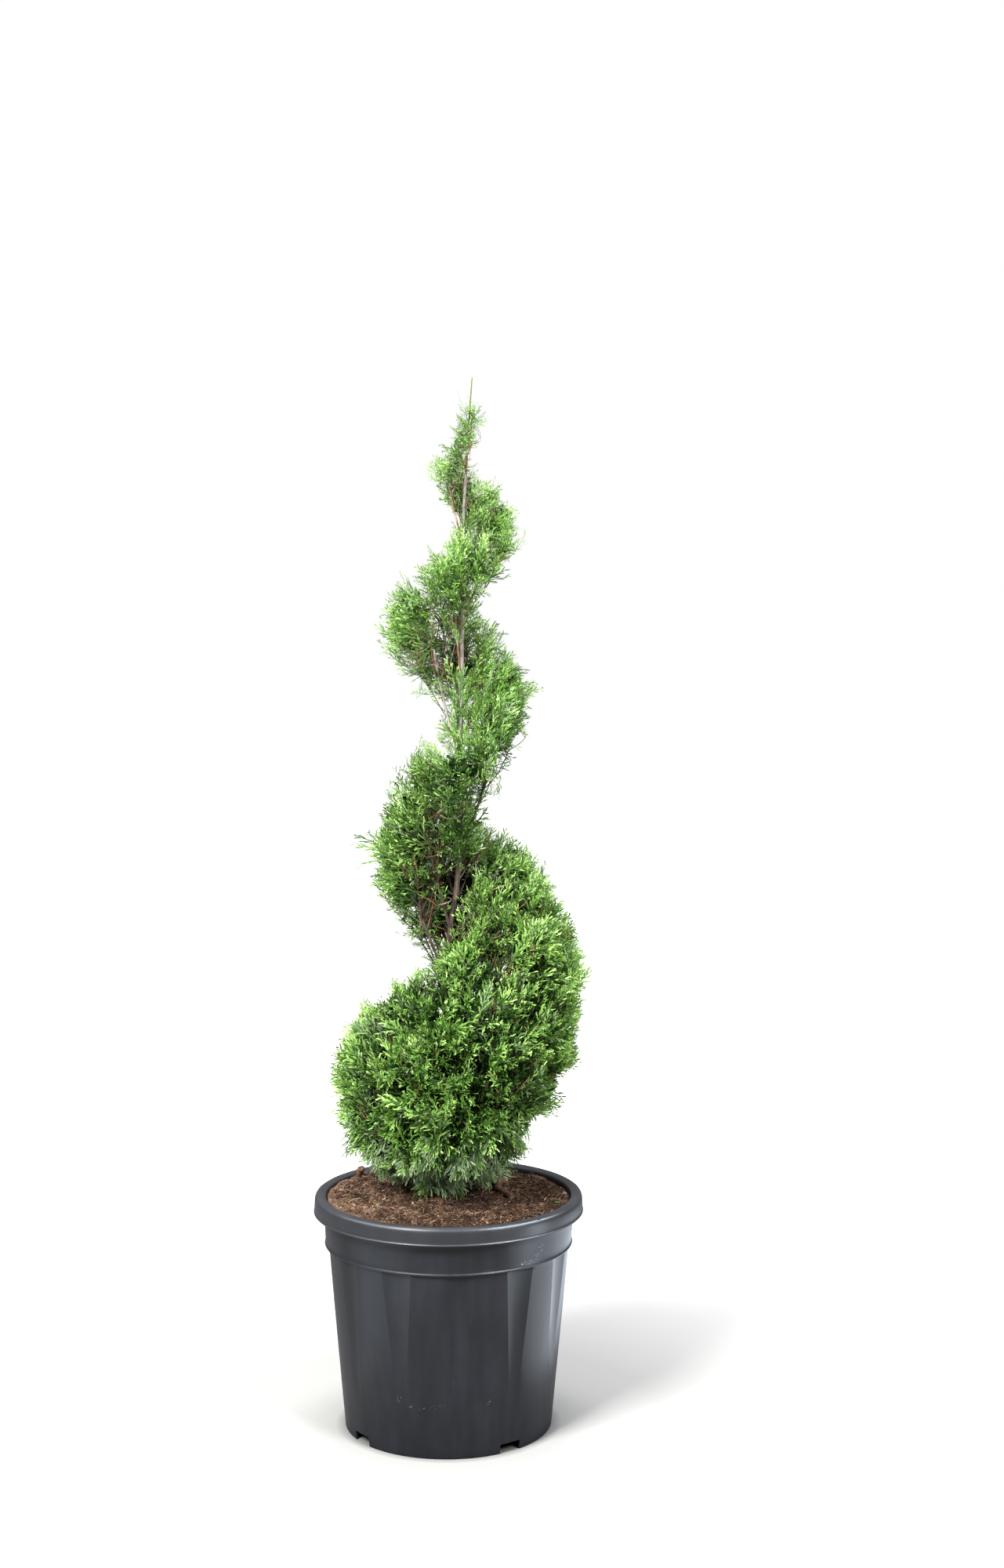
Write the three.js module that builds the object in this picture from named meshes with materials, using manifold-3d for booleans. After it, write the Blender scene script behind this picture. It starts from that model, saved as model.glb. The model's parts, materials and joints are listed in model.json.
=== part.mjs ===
// A spiral-cut thuja in a black nursery pot, in millimetres, +Z up.
// The origin is the centre of the pot's base, in the plane it stands on; -Y is the front.
import * as THREE from 'three';
import { mergeVertices } from 'three/addons/utils/BufferGeometryUtils.js';
import Module from 'manifold-3d';

const wasm = await Module();
wasm.setup();

const GAP = 0.35;               // clearance between neighbouring solids
const DEG = Math.PI / 180;

// ---- Driving dimensions: pot -------------------------------------------------
const POT = {
  height: 305,
  baseRadius: 136.6,            // outside, at the foot
  bodyTopRadius: 160,           // outside, just under the collar
  wall: 3,
  footDepth: 14,                // the floor stands this far above the ground
  floor: 3,
  collarBottom: 240,
  collarRadius: [163.4, 165],   // bottom and top of the collar band
  rimBottom: 281,
  rimRadius: 179,
  mouthRadius: 162.5,
  segments: 60,
};
const FLUTE = { count: 12, turn: 6.5, depth: 3.4, halfWidth: [2.4, 7.4], bottom: 52 };
const NOTCH = { count: 4, turn: 36.5, width: 31, height: 12.5, depth: 14 };
const SOIL = { edge: 297, mound: 301, moundRadius: 34, roughness: 1.4, rings: 3, segments: 24 };

// ---- Driving dimensions: trunk ------------------------------------------------
// Sideways place of the stem's centre line at each height: straight, one kink, a lean at the tip.
const STEM_LINE = [
  [0, 0, 301], [-1, 2, 440], [0, 3, 630], [14, 0, 740], [16, -2, 900],
  [18, 0, 1050], [19, 2, 1180], [24, 1, 1280], [31, 0, 1388],
];
// Radius of the stem at each height, with the root flare at the soil.
const STEM_GIRTH = [
  [301, 17], [311, 12], [332, 10], [560, 6], [700, 4.4], [900, 3.4], [1180, 2.5], [1290, 1.7], [1388, 0.7],
];
const STEM_SIDES = 10;
const STEM_STEPS = 24;

// ---- Driving dimensions: the spiral of foliage ---------------------------------
// One row every quarter turn up the spiral. turn counts whole turns from the right side (+X),
// anticlockwise seen from above: 0.25 is the back, 0.5 the left, 0.75 the front, 1 the right.
// crest and reach place the widest point, top is the height beside the stem, notch the open
// groove under the coil, throat how far the top stands off the stem, and shape how full the
// section is: 1 is a wedge, 2 an ellipse, more is boxier.
const STATIONS = [
  { turn: 0, crest: 380, reach: 92, top: 420, notch: 0, throat: 2, shape: 2 },
  { turn: 0.25, crest: 398, reach: 128, top: 492, notch: 0, throat: 2, shape: 2 },
  { turn: 0.5, crest: 440, reach: 152, top: 588, notch: 0, throat: 2, shape: 2.1 },
  { turn: 0.75, crest: 498, reach: 168, top: 640, notch: 0, throat: 6, shape: 2 },
  { turn: 1, crest: 572, reach: 181, top: 764, notch: 60, throat: 24, shape: 1.9 },
  { turn: 1.25, crest: 676, reach: 142, top: 826, notch: 74, throat: 6, shape: 1.8 },
  { turn: 1.5, crest: 768, reach: 116, top: 920, notch: 44, throat: 2, shape: 1.6 },
  { turn: 1.75, crest: 862, reach: 100, top: 978, notch: 114, throat: 2, shape: 1.45 },
  { turn: 2, crest: 950, reach: 106, top: 1064, notch: 76, throat: 3, shape: 1.45 },
  { turn: 2.25, crest: 1004, reach: 100, top: 1122, notch: 86, throat: 3, shape: 1.45 },
  { turn: 2.5, crest: 1054, reach: 107, top: 1156, notch: 56, throat: 2, shape: 1.85 },
  { turn: 2.75, crest: 1114, reach: 88, top: 1200, notch: 76, throat: 2, shape: 1.5 },
  { turn: 3, crest: 1188, reach: 73, top: 1256, notch: 58, throat: 2, shape: 1.5 },
  { turn: 3.25, crest: 1226, reach: 56, top: 1294, notch: 62, throat: 2, shape: 1.5 },
  { turn: 3.5, crest: 1270, reach: 43, top: 1336, notch: 66, throat: 2, shape: 1.5 },
  { turn: 3.75, crest: 1302, reach: 26, top: 1356, notch: 60, throat: 2, shape: 1.5 },
  { turn: 4, crest: 1330, reach: 14, top: 1372, notch: 56, throat: 2, shape: 1.5 },
];
const SPIRAL_FOOT = 305;        // lowest foliage, just above the soil
const FIRST_CUT = 1.125;        // the groove starts here: every coil before it reaches the foot
const LAST_CUT = 3.625;         // the top tuft starts here
const SPIRAL_END = STATIONS[STATIONS.length - 1].turn;
const MASS_TURN = 0.25;         // one mass is a quarter turn
const UNEVEN = 0.045;           // depth of the bumps, as a share of the reach
const SECTION_POINTS = 10;      // from the top over the crest to the foot
const RINGS_PER_MASS = 6;
const CORE = 1.6;               // inner edge of the masses, inside the stem
const THROAT_SLOPE = 5.5;       // how deep the coil dips towards the stem, for each mm of throat
const LOWEST_SEAT = 0.3;        // the coil meets the stem over at least this share of its height

// ---- Driving dimensions: boughs -------------------------------------------------
// from is the height on the stem, side the direction in degrees from +X, reach and rise the
// place of the far end from there, girth the radius at the stem and at the far end.
const BOUGHS = [
  { name: 'bough_back_1', from: 500, side: 78, reach: 46, rise: 96, girth: [3.4, 2.2] },
  { name: 'bough_left_1', from: 592, side: 192, reach: 40, rise: 96, girth: [3, 1.9] },
  { name: 'bough_right_1', from: 604, side: 338, reach: 44, rise: 122, girth: [3, 1.8] },
  { name: 'bough_front_1', from: 655, side: 226, reach: 40, rise: 118, girth: [2.8, 1.8] },
  { name: 'bough_right_2', from: 762, side: 336, reach: 42, rise: 108, girth: [2.7, 1.7] },
  { name: 'bough_back_2', from: 842, side: 96, reach: 36, rise: 96, girth: [2.6, 1.6] },
  { name: 'bough_left_2', from: 884, side: 184, reach: 36, rise: 142, girth: [2.7, 1.9] },
  { name: 'bough_front_2', from: 984, side: 256, reach: 30, rise: 84, girth: [2.2, 1.4] },
  { name: 'bough_right_3', from: 1072, side: 8, reach: 28, rise: 66, girth: [2.1, 1.3] },
  { name: 'bough_back_3', from: 1132, side: 84, reach: 22, rise: 68, girth: [1.9, 1.2] },
  { name: 'bough_left_3', from: 1172, side: 176, reach: 18, rise: 70, girth: [1.8, 1.1] },
];
const BOUGH_BEND = [0.6, 0.4];   // where it bends upwards, as shares of its reach and rise
const BOUGH_SIDES = 7;
const BOUGH_STEPS = 4;

// ---- Materials --------------------------------------------------------------------
const plastic = new THREE.MeshStandardMaterial({ color: 0x34373d, roughness: 0.45, metalness: 0 });
const compost = new THREE.MeshStandardMaterial({ color: 0x5c3d2b, roughness: 0.95, metalness: 0 });
const bark = new THREE.MeshStandardMaterial({ color: 0x7d6a5c, roughness: 0.85, metalness: 0 });
const foliage = new THREE.MeshStandardMaterial({ color: 0x4f8a2f, roughness: 0.6, metalness: 0 });

// ---- Solids and meshes --------------------------------------------------------------

// A closed three.js geometry as a solid that can be cut.
function toSolid(geometry) {
  geometry.deleteAttribute('normal');
  geometry.deleteAttribute('uv');
  const merged = mergeVertices(geometry, 1e-4);
  const vertProperties = new Float32Array(merged.attributes.position.array);
  const triVerts = new Uint32Array(merged.index.array);
  return new wasm.Manifold(new wasm.Mesh({ numProp: 3, vertProperties, triVerts }));
}

// The largest separate body of a solid as a named mesh.
function toMesh(solid, name, material) {
  const bodies = solid.decompose().sort((a, b) => b.volume() - a.volume());
  const { vertProperties, triVerts } = bodies[0].getMesh();
  const geometry = new THREE.BufferGeometry();
  geometry.setAttribute('position', new THREE.BufferAttribute(vertProperties, 3));
  geometry.setIndex(new THREE.BufferAttribute(triVerts, 1));
  geometry.computeVertexNormals();
  const mesh = new THREE.Mesh(geometry, material);
  mesh.name = name;
  return mesh;
}

// A closed skin over a row of rings, which run anticlockwise seen from the far end.
function skin(rings) {
  const size = rings[0].length;
  const last = (rings.length - 1) * size;
  const centre = (ring) => ring.reduce((sum, p) => sum.add(p), new THREE.Vector3())
    .divideScalar(size);
  const points = [...rings.flat(), centre(rings[0]), centre(rings[rings.length - 1])];
  const index = [];
  for (let j = 0; j < size; j += 1) {
    const next = (j + 1) % size;
    for (let start = 0; start < last; start += size) {
      index.push(start + j, start + next, start + size + j);
      index.push(start + next, start + size + next, start + size + j);
    }
    index.push(points.length - 2, next, j);
    index.push(points.length - 1, last + j, last + next);
  }
  const geometry = new THREE.BufferGeometry().setFromPoints(points);
  geometry.setIndex(index);
  return geometry;
}

// Straight-line interpolation in rows of [key, value], held level past both ends.
function lookUp(rows, key) {
  const held = THREE.MathUtils.clamp(key, rows[0][0], rows[rows.length - 1][0]);
  const above = Math.max(1, rows.findIndex((row) => row[0] >= held));
  const [[k0, v0], [k1, v1]] = [rows[above - 1], rows[above]];
  return THREE.MathUtils.mapLinear(held, k0, k1, v0, v1);
}

// The rings of a tapering limb along a curve. A margin makes it fatter, and longer at its far end.
function limb(curve, radiusAt, sides, steps, margin) {
  const { normals, binormals, tangents } = curve.computeFrenetFrames(steps);
  return normals.map((normal, i) => {
    const centre = curve.getPointAt(i / steps);
    const radius = radiusAt(i / steps, centre) + margin;
    if (i === steps) centre.addScaledVector(tangents[i], margin);
    return Array.from({ length: sides }, (_, j) => {
      const angle = (2 * Math.PI * j) / sides;
      return centre.clone()
        .addScaledVector(normal, radius * Math.cos(angle))
        .addScaledVector(binormals[i], radius * Math.sin(angle));
    });
  });
}

// ---- Trunk ----------------------------------------------------------------------------
const stemCurve = new THREE.CatmullRomCurve3(STEM_LINE.map((p) => new THREE.Vector3(...p)));
const stemSamples = stemCurve.getPoints(200);
const stemRowsX = stemSamples.map((p) => [p.z, p.x]);
const stemRowsY = stemSamples.map((p) => [p.z, p.y]);

// The point of the stem's centre line at a height.
function stemAt(height) {
  return new THREE.Vector3(lookUp(stemRowsX, height), lookUp(stemRowsY, height), height);
}

// The stem's skin; its lowest ring is level, so that it stands flat on the soil.
function stemSkin(margin) {
  const radiusAt = (_, centre) => lookUp(STEM_GIRTH, centre.z);
  const rings = limb(stemCurve, radiusAt, STEM_SIDES, STEM_STEPS, margin);
  rings[0].forEach((point) => point.setZ(SOIL.mound));
  return skin(rings);
}

// ---- Boughs -----------------------------------------------------------------------------

// A bough leaves the stem slanting and bends upwards.
function boughSkin({ from, side, reach, rise, girth }, margin) {
  const root = stemAt(from);
  const out = new THREE.Vector3(Math.cos(side * DEG), Math.sin(side * DEG), 0);
  const bend = root.clone().addScaledVector(out, reach * BOUGH_BEND[0]);
  bend.setZ(from + rise * BOUGH_BEND[1]);
  const end = root.clone().addScaledVector(out, reach).setZ(from + rise);
  const curve = new THREE.QuadraticBezierCurve3(root, bend, end);
  const radiusAt = (share) => THREE.MathUtils.lerp(girth[0], girth[1], share);
  return skin(limb(curve, radiusAt, BOUGH_SIDES, BOUGH_STEPS, margin));
}

// ---- Masses of foliage --------------------------------------------------------------------
const tracks = {};
for (const key of ['crest', 'reach', 'top', 'notch', 'throat', 'shape']) {
  const points = STATIONS.map((s) => new THREE.Vector3(s[key], 0, 0));
  tracks[key] = new THREE.CatmullRomCurve3(points, false, 'catmullrom', 0.5);
}

// A station value at any turn between the rows.
function valueAt(key, turn) {
  return tracks[key].getPoint(turn / SPIRAL_END).x;
}

// Foot of the coil: the plant's own foot, or once the groove is cut a notch above the coil below.
function footAt(turn, cut) {
  return cut ? valueAt('top', turn - 1) + valueAt('notch', turn) : SPIRAL_FOOT;
}

// Soft bumps, the same on every run.
function bump(angle, height) {
  return 0.5 * Math.sin(3 * angle + height / 31) + 0.3 * Math.sin(7 * angle - height / 17 + 1)
    + 0.2 * Math.sin(12 * angle + height / 9 + 2);
}

// One section of the coil, from its top over the crest to its foot and back up the stem.
function section(turn, cut) {
  const angle = turn * 2 * Math.PI;
  const [crest, reach, top, throat, shape] = ['crest', 'reach', 'top', 'throat', 'shape']
    .map((key) => valueAt(key, turn));
  const foot = footAt(turn, cut);
  const profile = [];
  for (let i = 0; i <= SECTION_POINTS; i += 1) {
    const lift = Math.cos((Math.PI * i) / SECTION_POINTS);
    const out = Math.sin((Math.PI * i) / SECTION_POINTS);
    const height = crest + Math.sign(lift) * Math.abs(lift) ** (2 / shape)
      * (lift > 0 ? top - crest : crest - foot);
    const inner = lift > 0 ? throat : CORE;
    profile.push([inner + (reach - inner) * out ** (2 / shape), height]);
  }
  const lowestSeat = THREE.MathUtils.lerp(foot, top, LOWEST_SEAT);
  const seat = Math.max(top - THROAT_SLOPE * throat, lowestSeat);
  profile.push([CORE, THREE.MathUtils.lerp(foot, seat, 0.5)], [CORE, seat]);
  return profile.map(([distance, height]) => {
    const spread = distance * (1 + UNEVEN * bump(angle, height));
    const out = new THREE.Vector3(Math.cos(angle) * spread, Math.sin(angle) * spread, 0);
    return stemAt(height).add(out);
  });
}

// The stretch of the spiral between two turns, drawn in at both ends by half the gap.
function coilSkin(start, end) {
  const cut = start >= FIRST_CUT;
  const steps = Math.round((RINGS_PER_MASS - 1) * Math.max(1, (end - start) / MASS_TURN));
  const rings = [];
  for (let i = 0; i <= steps; i += 1) {
    const turn = THREE.MathUtils.lerp(start, end, i / steps);
    const ring = section(turn, cut);
    const inward = (i === 0 ? 1 : 0) - (i === steps ? 1 : 0);
    const angle = turn * 2 * Math.PI;
    const along = new THREE.Vector3(-Math.sin(angle), Math.cos(angle), 0);
    rings.push(ring.map((point) => point.addScaledVector(along, inward * GAP * 0.5)));
  }
  return skin(rings);
}

// ---- Pot and soil -----------------------------------------------------------------------------

// How far a flute draws the wall in at an angle from the front and a height.
function fluteDepth(angle, height) {
  const share = (height - FLUTE.bottom) / (POT.collarBottom - FLUTE.bottom);
  if (share <= 0 || height > POT.collarBottom) return 0;
  const pitch = 360 / FLUTE.count;
  const offset = THREE.MathUtils.euclideanModulo(angle / DEG - FLUTE.turn + pitch / 2, pitch);
  const halfWidth = THREE.MathUtils.lerp(...FLUTE.halfWidth, share);
  const across = Math.abs(offset - pitch / 2) / halfWidth;
  return across >= 1 ? 0 : FLUTE.depth * share * (1 - across ** 2);
}

// Outside radius of the plain tapered body.
function bodyRadius(height) {
  return THREE.MathUtils.lerp(POT.baseRadius, POT.bodyTopRadius, height / POT.collarBottom);
}

// A turned profile of [radius, height] with the flutes pressed in.
function flutedLathe(profile) {
  const points = profile.map((p) => new THREE.Vector2(...p));
  const geometry = new THREE.LatheGeometry(points, POT.segments, FLUTE.turn * DEG);
  geometry.rotateX(Math.PI / 2);
  const { position } = geometry.attributes;
  for (let i = 0; i < position.count; i += 1) {
    const [x, y, z] = [position.getX(i), position.getY(i), position.getZ(i)];
    const radius = Math.hypot(x, y);
    if (radius > POT.baseRadius - POT.wall * 2) {
      const shrink = 1 - fluteDepth(Math.atan2(x, -y), z) / radius;
      position.setXYZ(i, x * shrink, y * shrink, z);
    }
  }
  return geometry;
}

// The room inside the pot, from its floor to above its mouth, made smaller by margin.
function potRoom(margin) {
  const [collarLow, collarHigh] = POT.collarRadius;
  const side = POT.wall + margin;
  const low = POT.footDepth + POT.floor + margin;
  const above = POT.height + 20;
  return toSolid(flutedLathe([
    [0, low],
    [bodyRadius(low) - side, low],
    [bodyRadius(FLUTE.bottom) - side, FLUTE.bottom],
    [POT.bodyTopRadius - side, POT.collarBottom],
    [collarLow - side, POT.collarBottom + 2],
    [collarHigh - side, POT.rimBottom],
    [POT.mouthRadius - margin, POT.height - 2],
    [POT.mouthRadius - margin, above],
    [0, above],
  ]));
}

function buildPot() {
  const [collarLow, collarHigh] = POT.collarRadius;
  let pot = toSolid(flutedLathe([
    [0, POT.footDepth],
    [bodyRadius(POT.footDepth) - POT.wall, POT.footDepth],
    [POT.baseRadius - POT.wall, 0],
    [POT.baseRadius, 0],
    [bodyRadius(FLUTE.bottom), FLUTE.bottom],
    [POT.bodyTopRadius, POT.collarBottom],
    [collarLow, POT.collarBottom + 2],
    [collarHigh, POT.rimBottom],
    [POT.rimRadius - 2, POT.rimBottom],
    [POT.rimRadius, POT.rimBottom + 5],
    [POT.rimRadius - 1, POT.height - 6],
    [POT.rimRadius - 3, POT.height - 2.8],
    [POT.rimRadius - 6.5, POT.height - 2.4],
    [POT.mouthRadius + 4, POT.height],
    [0, POT.height],
  ])).subtract(potRoom(0));
  for (let i = 0; i < NOTCH.count; i += 1) {
    const cutter = new THREE.BoxGeometry(NOTCH.width, NOTCH.depth, 2 * NOTCH.height);
    cutter.translate(0, -POT.baseRadius, 0);
    cutter.rotateZ((NOTCH.turn + (360 * i) / NOTCH.count) * DEG);
    pot = pot.subtract(toSolid(cutter));
  }
  return toMesh(pot, 'pot', plastic);
}

// The compost fills the room up to a lumpy mound with a level seat for the stem.
function buildSoil() {
  const profile = [[0, 0], [POT.rimRadius, 0], [POT.rimRadius, SOIL.edge]];
  for (let i = 1; i <= SOIL.rings; i += 1) {
    const share = i / SOIL.rings;
    const radius = THREE.MathUtils.lerp(POT.rimRadius, SOIL.moundRadius, share);
    profile.push([radius, THREE.MathUtils.lerp(SOIL.edge, SOIL.mound, share)]);
  }
  profile.push([0, SOIL.mound]);
  const points = profile.map((p) => new THREE.Vector2(...p));
  const geometry = new THREE.LatheGeometry(points, SOIL.segments).rotateX(Math.PI / 2);
  const { position } = geometry.attributes;
  for (let i = 0; i < position.count; i += 1) {
    const [x, y, z] = [position.getX(i), position.getY(i), position.getZ(i)];
    const onTop = z >= SOIL.edge && Math.hypot(x, y) > SOIL.moundRadius + 1;
    const lump = Math.sin(x / 13 + 1) * Math.sin(y / 17) + 0.6 * Math.sin((x + y) / 8);
    if (onTop) position.setZ(i, z + SOIL.roughness * lump);
  }
  return toMesh(toSolid(geometry).intersect(potRoom(GAP)), 'soil', compost);
}

// ---- The plant ------------------------------------------------------------------------------------
const group = new THREE.Group();
group.add(buildPot(), buildSoil());

const stemRoom = toSolid(stemSkin(GAP));
group.add(toMesh(toSolid(stemSkin(0)), 'trunk', bark));

for (const bough of BOUGHS) {
  group.add(toMesh(toSolid(boughSkin(bough, 0)).subtract(stemRoom), bough.name, bark));
}
const limbRoom = BOUGHS.reduce((sum, bough) => sum.add(toSolid(boughSkin(bough, GAP))), stemRoom);

// Each mass is named for its tier and the side of the plant that it covers.
const SIDES = ['back', 'left', 'front', 'right'];
const masses = [];
for (let start = FIRST_CUT - 1; start < LAST_CUT; start += MASS_TURN) {
  const count = masses.length;
  const name = `foliage_${SIDES[count % SIDES.length]}_${Math.floor(count / SIDES.length) + 1}`;
  masses.push({ name, start, end: start + MASS_TURN });
}
masses.push({ name: 'foliage_top', start: LAST_CUT, end: SPIRAL_END });
for (const { name, start, end } of masses) {
  group.add(toMesh(toSolid(coilSkin(start, end)).subtract(limbRoom), name, foliage));
}

export default group;
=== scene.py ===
"""A spiral-clipped thuja in its black nursery pot.

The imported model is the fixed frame. Each CAD node is replaced by a finished piece in its place:
the moulded pot, the compost with its crumbs and fibres, the bark of the stem and the boughs, and
sprays of scale leaves on twigs that grow out of them.
"""

import json
import logging
import math
from dataclasses import dataclass, field
from enum import Enum
from typing import Iterable, Sequence

import bpy
import numpy as np
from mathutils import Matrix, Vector, noise
from mathutils.bvhtree import BVHTree

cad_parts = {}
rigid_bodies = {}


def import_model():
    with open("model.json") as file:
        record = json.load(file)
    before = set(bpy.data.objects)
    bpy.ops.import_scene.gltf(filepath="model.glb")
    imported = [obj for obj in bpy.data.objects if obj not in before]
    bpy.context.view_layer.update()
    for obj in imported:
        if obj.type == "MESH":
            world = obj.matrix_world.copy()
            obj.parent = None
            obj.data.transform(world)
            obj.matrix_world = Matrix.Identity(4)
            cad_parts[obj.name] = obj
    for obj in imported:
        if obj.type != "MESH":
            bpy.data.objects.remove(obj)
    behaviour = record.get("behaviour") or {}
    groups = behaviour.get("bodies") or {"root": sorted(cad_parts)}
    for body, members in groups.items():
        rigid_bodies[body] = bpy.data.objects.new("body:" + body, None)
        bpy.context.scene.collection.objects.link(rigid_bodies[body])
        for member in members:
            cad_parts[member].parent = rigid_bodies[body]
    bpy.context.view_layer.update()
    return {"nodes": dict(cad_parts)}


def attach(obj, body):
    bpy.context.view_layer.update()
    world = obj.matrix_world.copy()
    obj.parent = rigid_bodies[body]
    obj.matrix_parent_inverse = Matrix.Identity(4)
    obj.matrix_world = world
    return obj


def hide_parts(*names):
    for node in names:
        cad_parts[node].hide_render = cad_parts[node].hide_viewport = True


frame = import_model()

LOG = logging.getLogger("topiary")
UP = np.array([0.0, 0.0, 1.0])
BODY = "root"

DRIFT_SHIFTS = (0.0, 31.7, 67.3)
DRIFT_GAIN = 1.6

Array = np.ndarray
Colour = tuple[float, float, float]
Socket = bpy.types.NodeSocket
Material = bpy.types.Material
Piece = bpy.types.Object
Value = Socket | Colour | float
Rng = np.random.Generator


# ---- Small tools ----


def unit(vectors: Array) -> Array:
    """The rows of an array, each made one long."""
    return vectors / np.maximum(np.linalg.norm(vectors, axis=-1, keepdims=True), 1e-12)


def ease(value: Array | float, low: float, high: float) -> Array | float:
    """A smooth step from 0 at low to 1 at high."""
    share = np.clip((value - low) / (high - low), 0.0, 1.0)
    return share * share * (3.0 - 2.0 * share)


def drift(points: Array, size: float, seed: float) -> Array:
    """Directions that change smoothly from point to point, over about a size in metres."""
    return DRIFT_GAIN * np.array([
        [noise.noise(Vector(p / size + seed + shift)) for shift in DRIFT_SHIFTS] for p in points])


def direction(heading: Array | float, pitch: Array | float) -> Array:
    """Unit vectors from their angles in the plane and their angles out of it."""
    level = np.cos(pitch)
    return np.stack([level * np.cos(heading), level * np.sin(heading), np.sin(pitch)], axis=-1)


def bent(start: Array, bend: Array, end: Array, share: Array) -> Array:
    """Points along curves that leave their starts towards their bends, from share 0 to 1."""
    left = 1 - share
    return left ** 2 * start + 2 * share * left * bend + share ** 2 * end


def deselect_all() -> None:
    """Leaves nothing selected, so that the next operator acts on the new piece alone."""
    bpy.ops.object.select_all(action="DESELECT")


def activate(piece: Piece) -> None:
    """Selects one object alone and makes it the active one."""
    deselect_all()
    piece.select_set(True)
    bpy.context.view_layer.objects.active = piece


def apply_modifier(piece: Piece, kind: str, **settings: object) -> None:
    """Adds a modifier and applies it at once.

    Args:
        piece: the object that gets it.
        kind: the modifier's type.
        settings: its properties by name.
    """
    activate(piece)
    bpy.ops.object.modifier_add(type=kind)
    modifier = piece.modifiers[-1]
    for name, value in settings.items():
        setattr(modifier, name, value)
    bpy.ops.object.modifier_apply(modifier=modifier.name)


def settle(piece: Piece, name: str) -> Piece:
    """Names a finished piece and puts its place into its mesh.

    Args:
        piece: the piece.
        name: its name.

    Returns:
        The same piece.
    """
    activate(piece)
    bpy.ops.object.transform_apply(location=True, rotation=True, scale=True)
    piece.name = name
    piece.data.name = name
    return piece


def set_out(shape: Array, index: Array, origin: Array, axes: Sequence[Array]
            ) -> tuple[Array, Array]:
    """Copies of one shape, each in a place and a frame of its own.

    Args:
        shape: the shape's points, alike or a set for each copy.
        index: the shape's faces.
        origin: where the copies lie.
        axes: the directions that the shape's x, y and z take, a row for each copy.

    Returns:
        All the points and all the faces.
    """
    points = origin[:, None] + sum(shape[..., i:i + 1] * axes[i][:, None] for i in range(3))
    first = shape.shape[-2] * np.arange(len(origin))[:, None, None]
    return points.reshape(-1, 3), (index[None] + first).reshape(-1, index.shape[1])


def drawn_body(sides: int, rings: Array) -> Piece:
    """Draws a closed body: a disc whose edge is extruded and resized from ring to ring.

    Args:
        sides: how many sides each ring has.
        rings: a row for each ring, with its x, y, z and radius.

    Returns:
        The new object.
    """
    deselect_all()
    bpy.ops.mesh.primitive_circle_add(
        vertices=sides, radius=rings[0][3], location=rings[0][:3], fill_type="NGON")
    piece = bpy.context.object
    bpy.ops.object.transform_apply(location=True, rotation=True, scale=True)
    bpy.ops.object.mode_set(mode="EDIT")
    bpy.ops.mesh.select_mode(type="EDGE")
    bpy.ops.mesh.select_all(action="SELECT")
    for last, ring in zip(rings, rings[1:]):
        grow = ring[3] / last[3]
        bpy.ops.mesh.extrude_edges_move(
            TRANSFORM_OT_translate={"value": tuple(ring[:3] - last[:3])})
        bpy.ops.transform.resize(value=(grow, grow, 1.0))
    bpy.ops.mesh.edge_face_add()
    bpy.ops.mesh.select_all(action="SELECT")
    bpy.ops.mesh.normals_make_consistent(inside=False)
    bpy.ops.object.mode_set(mode="OBJECT")
    return piece


def mesh_piece(name: str, points: Array, faces: Sequence[Array], finishes: Array,
               materials: Sequence[Material]) -> Piece:
    """One joined mesh from arrays.

    Args:
        name: the object's name.
        points: an n by 3 array of places.
        faces: arrays of corner numbers, each with faces of one number of corners.
        finishes: the material slot of each face, in the same order.
        materials: the materials that the slots count through.

    Returns:
        The new object, at the origin.
    """
    mesh = bpy.data.meshes.new(name)
    mesh.vertices.add(len(points))
    mesh.vertices.foreach_set("co", np.ascontiguousarray(points, np.float32).ravel())
    corners = np.concatenate([f.ravel() for f in faces]).astype(np.int32)
    sizes = np.concatenate([np.full(len(f), f.shape[1]) for f in faces])
    starts = np.concatenate([[0], np.cumsum(sizes)[:-1]]).astype(np.int32)
    mesh.loops.add(len(corners))
    mesh.loops.foreach_set("vertex_index", corners)
    mesh.polygons.add(len(sizes))
    mesh.polygons.foreach_set("loop_start", starts)
    for material in materials:
        mesh.materials.append(material)
    mesh.polygons.foreach_set("material_index", finishes.astype(np.int32))
    mesh.update(calc_edges=True)
    piece = bpy.data.objects.new(name, mesh)
    bpy.context.scene.collection.objects.link(piece)
    return piece


def node_triangles(name: str) -> Array:
    """Reads the triangles of a CAD node.

    Args:
        name: the node.

    Returns:
        An n by 3 by 3 array of corners.
    """
    mesh = frame["nodes"][name].data
    mesh.calc_loop_triangles()
    corners = np.zeros(len(mesh.loop_triangles) * 3, np.int32)
    mesh.loop_triangles.foreach_get("vertices", corners)
    places = np.zeros(len(mesh.vertices) * 3, np.float32)
    mesh.vertices.foreach_get("co", places)
    return places.reshape(-1, 3).astype(float)[corners].reshape(-1, 3, 3)


# A direction that hardly any tube runs in, from which its rings are laid out.
TUBE_SIDE = np.array([0.31, 0.9, 0.29])


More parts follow.
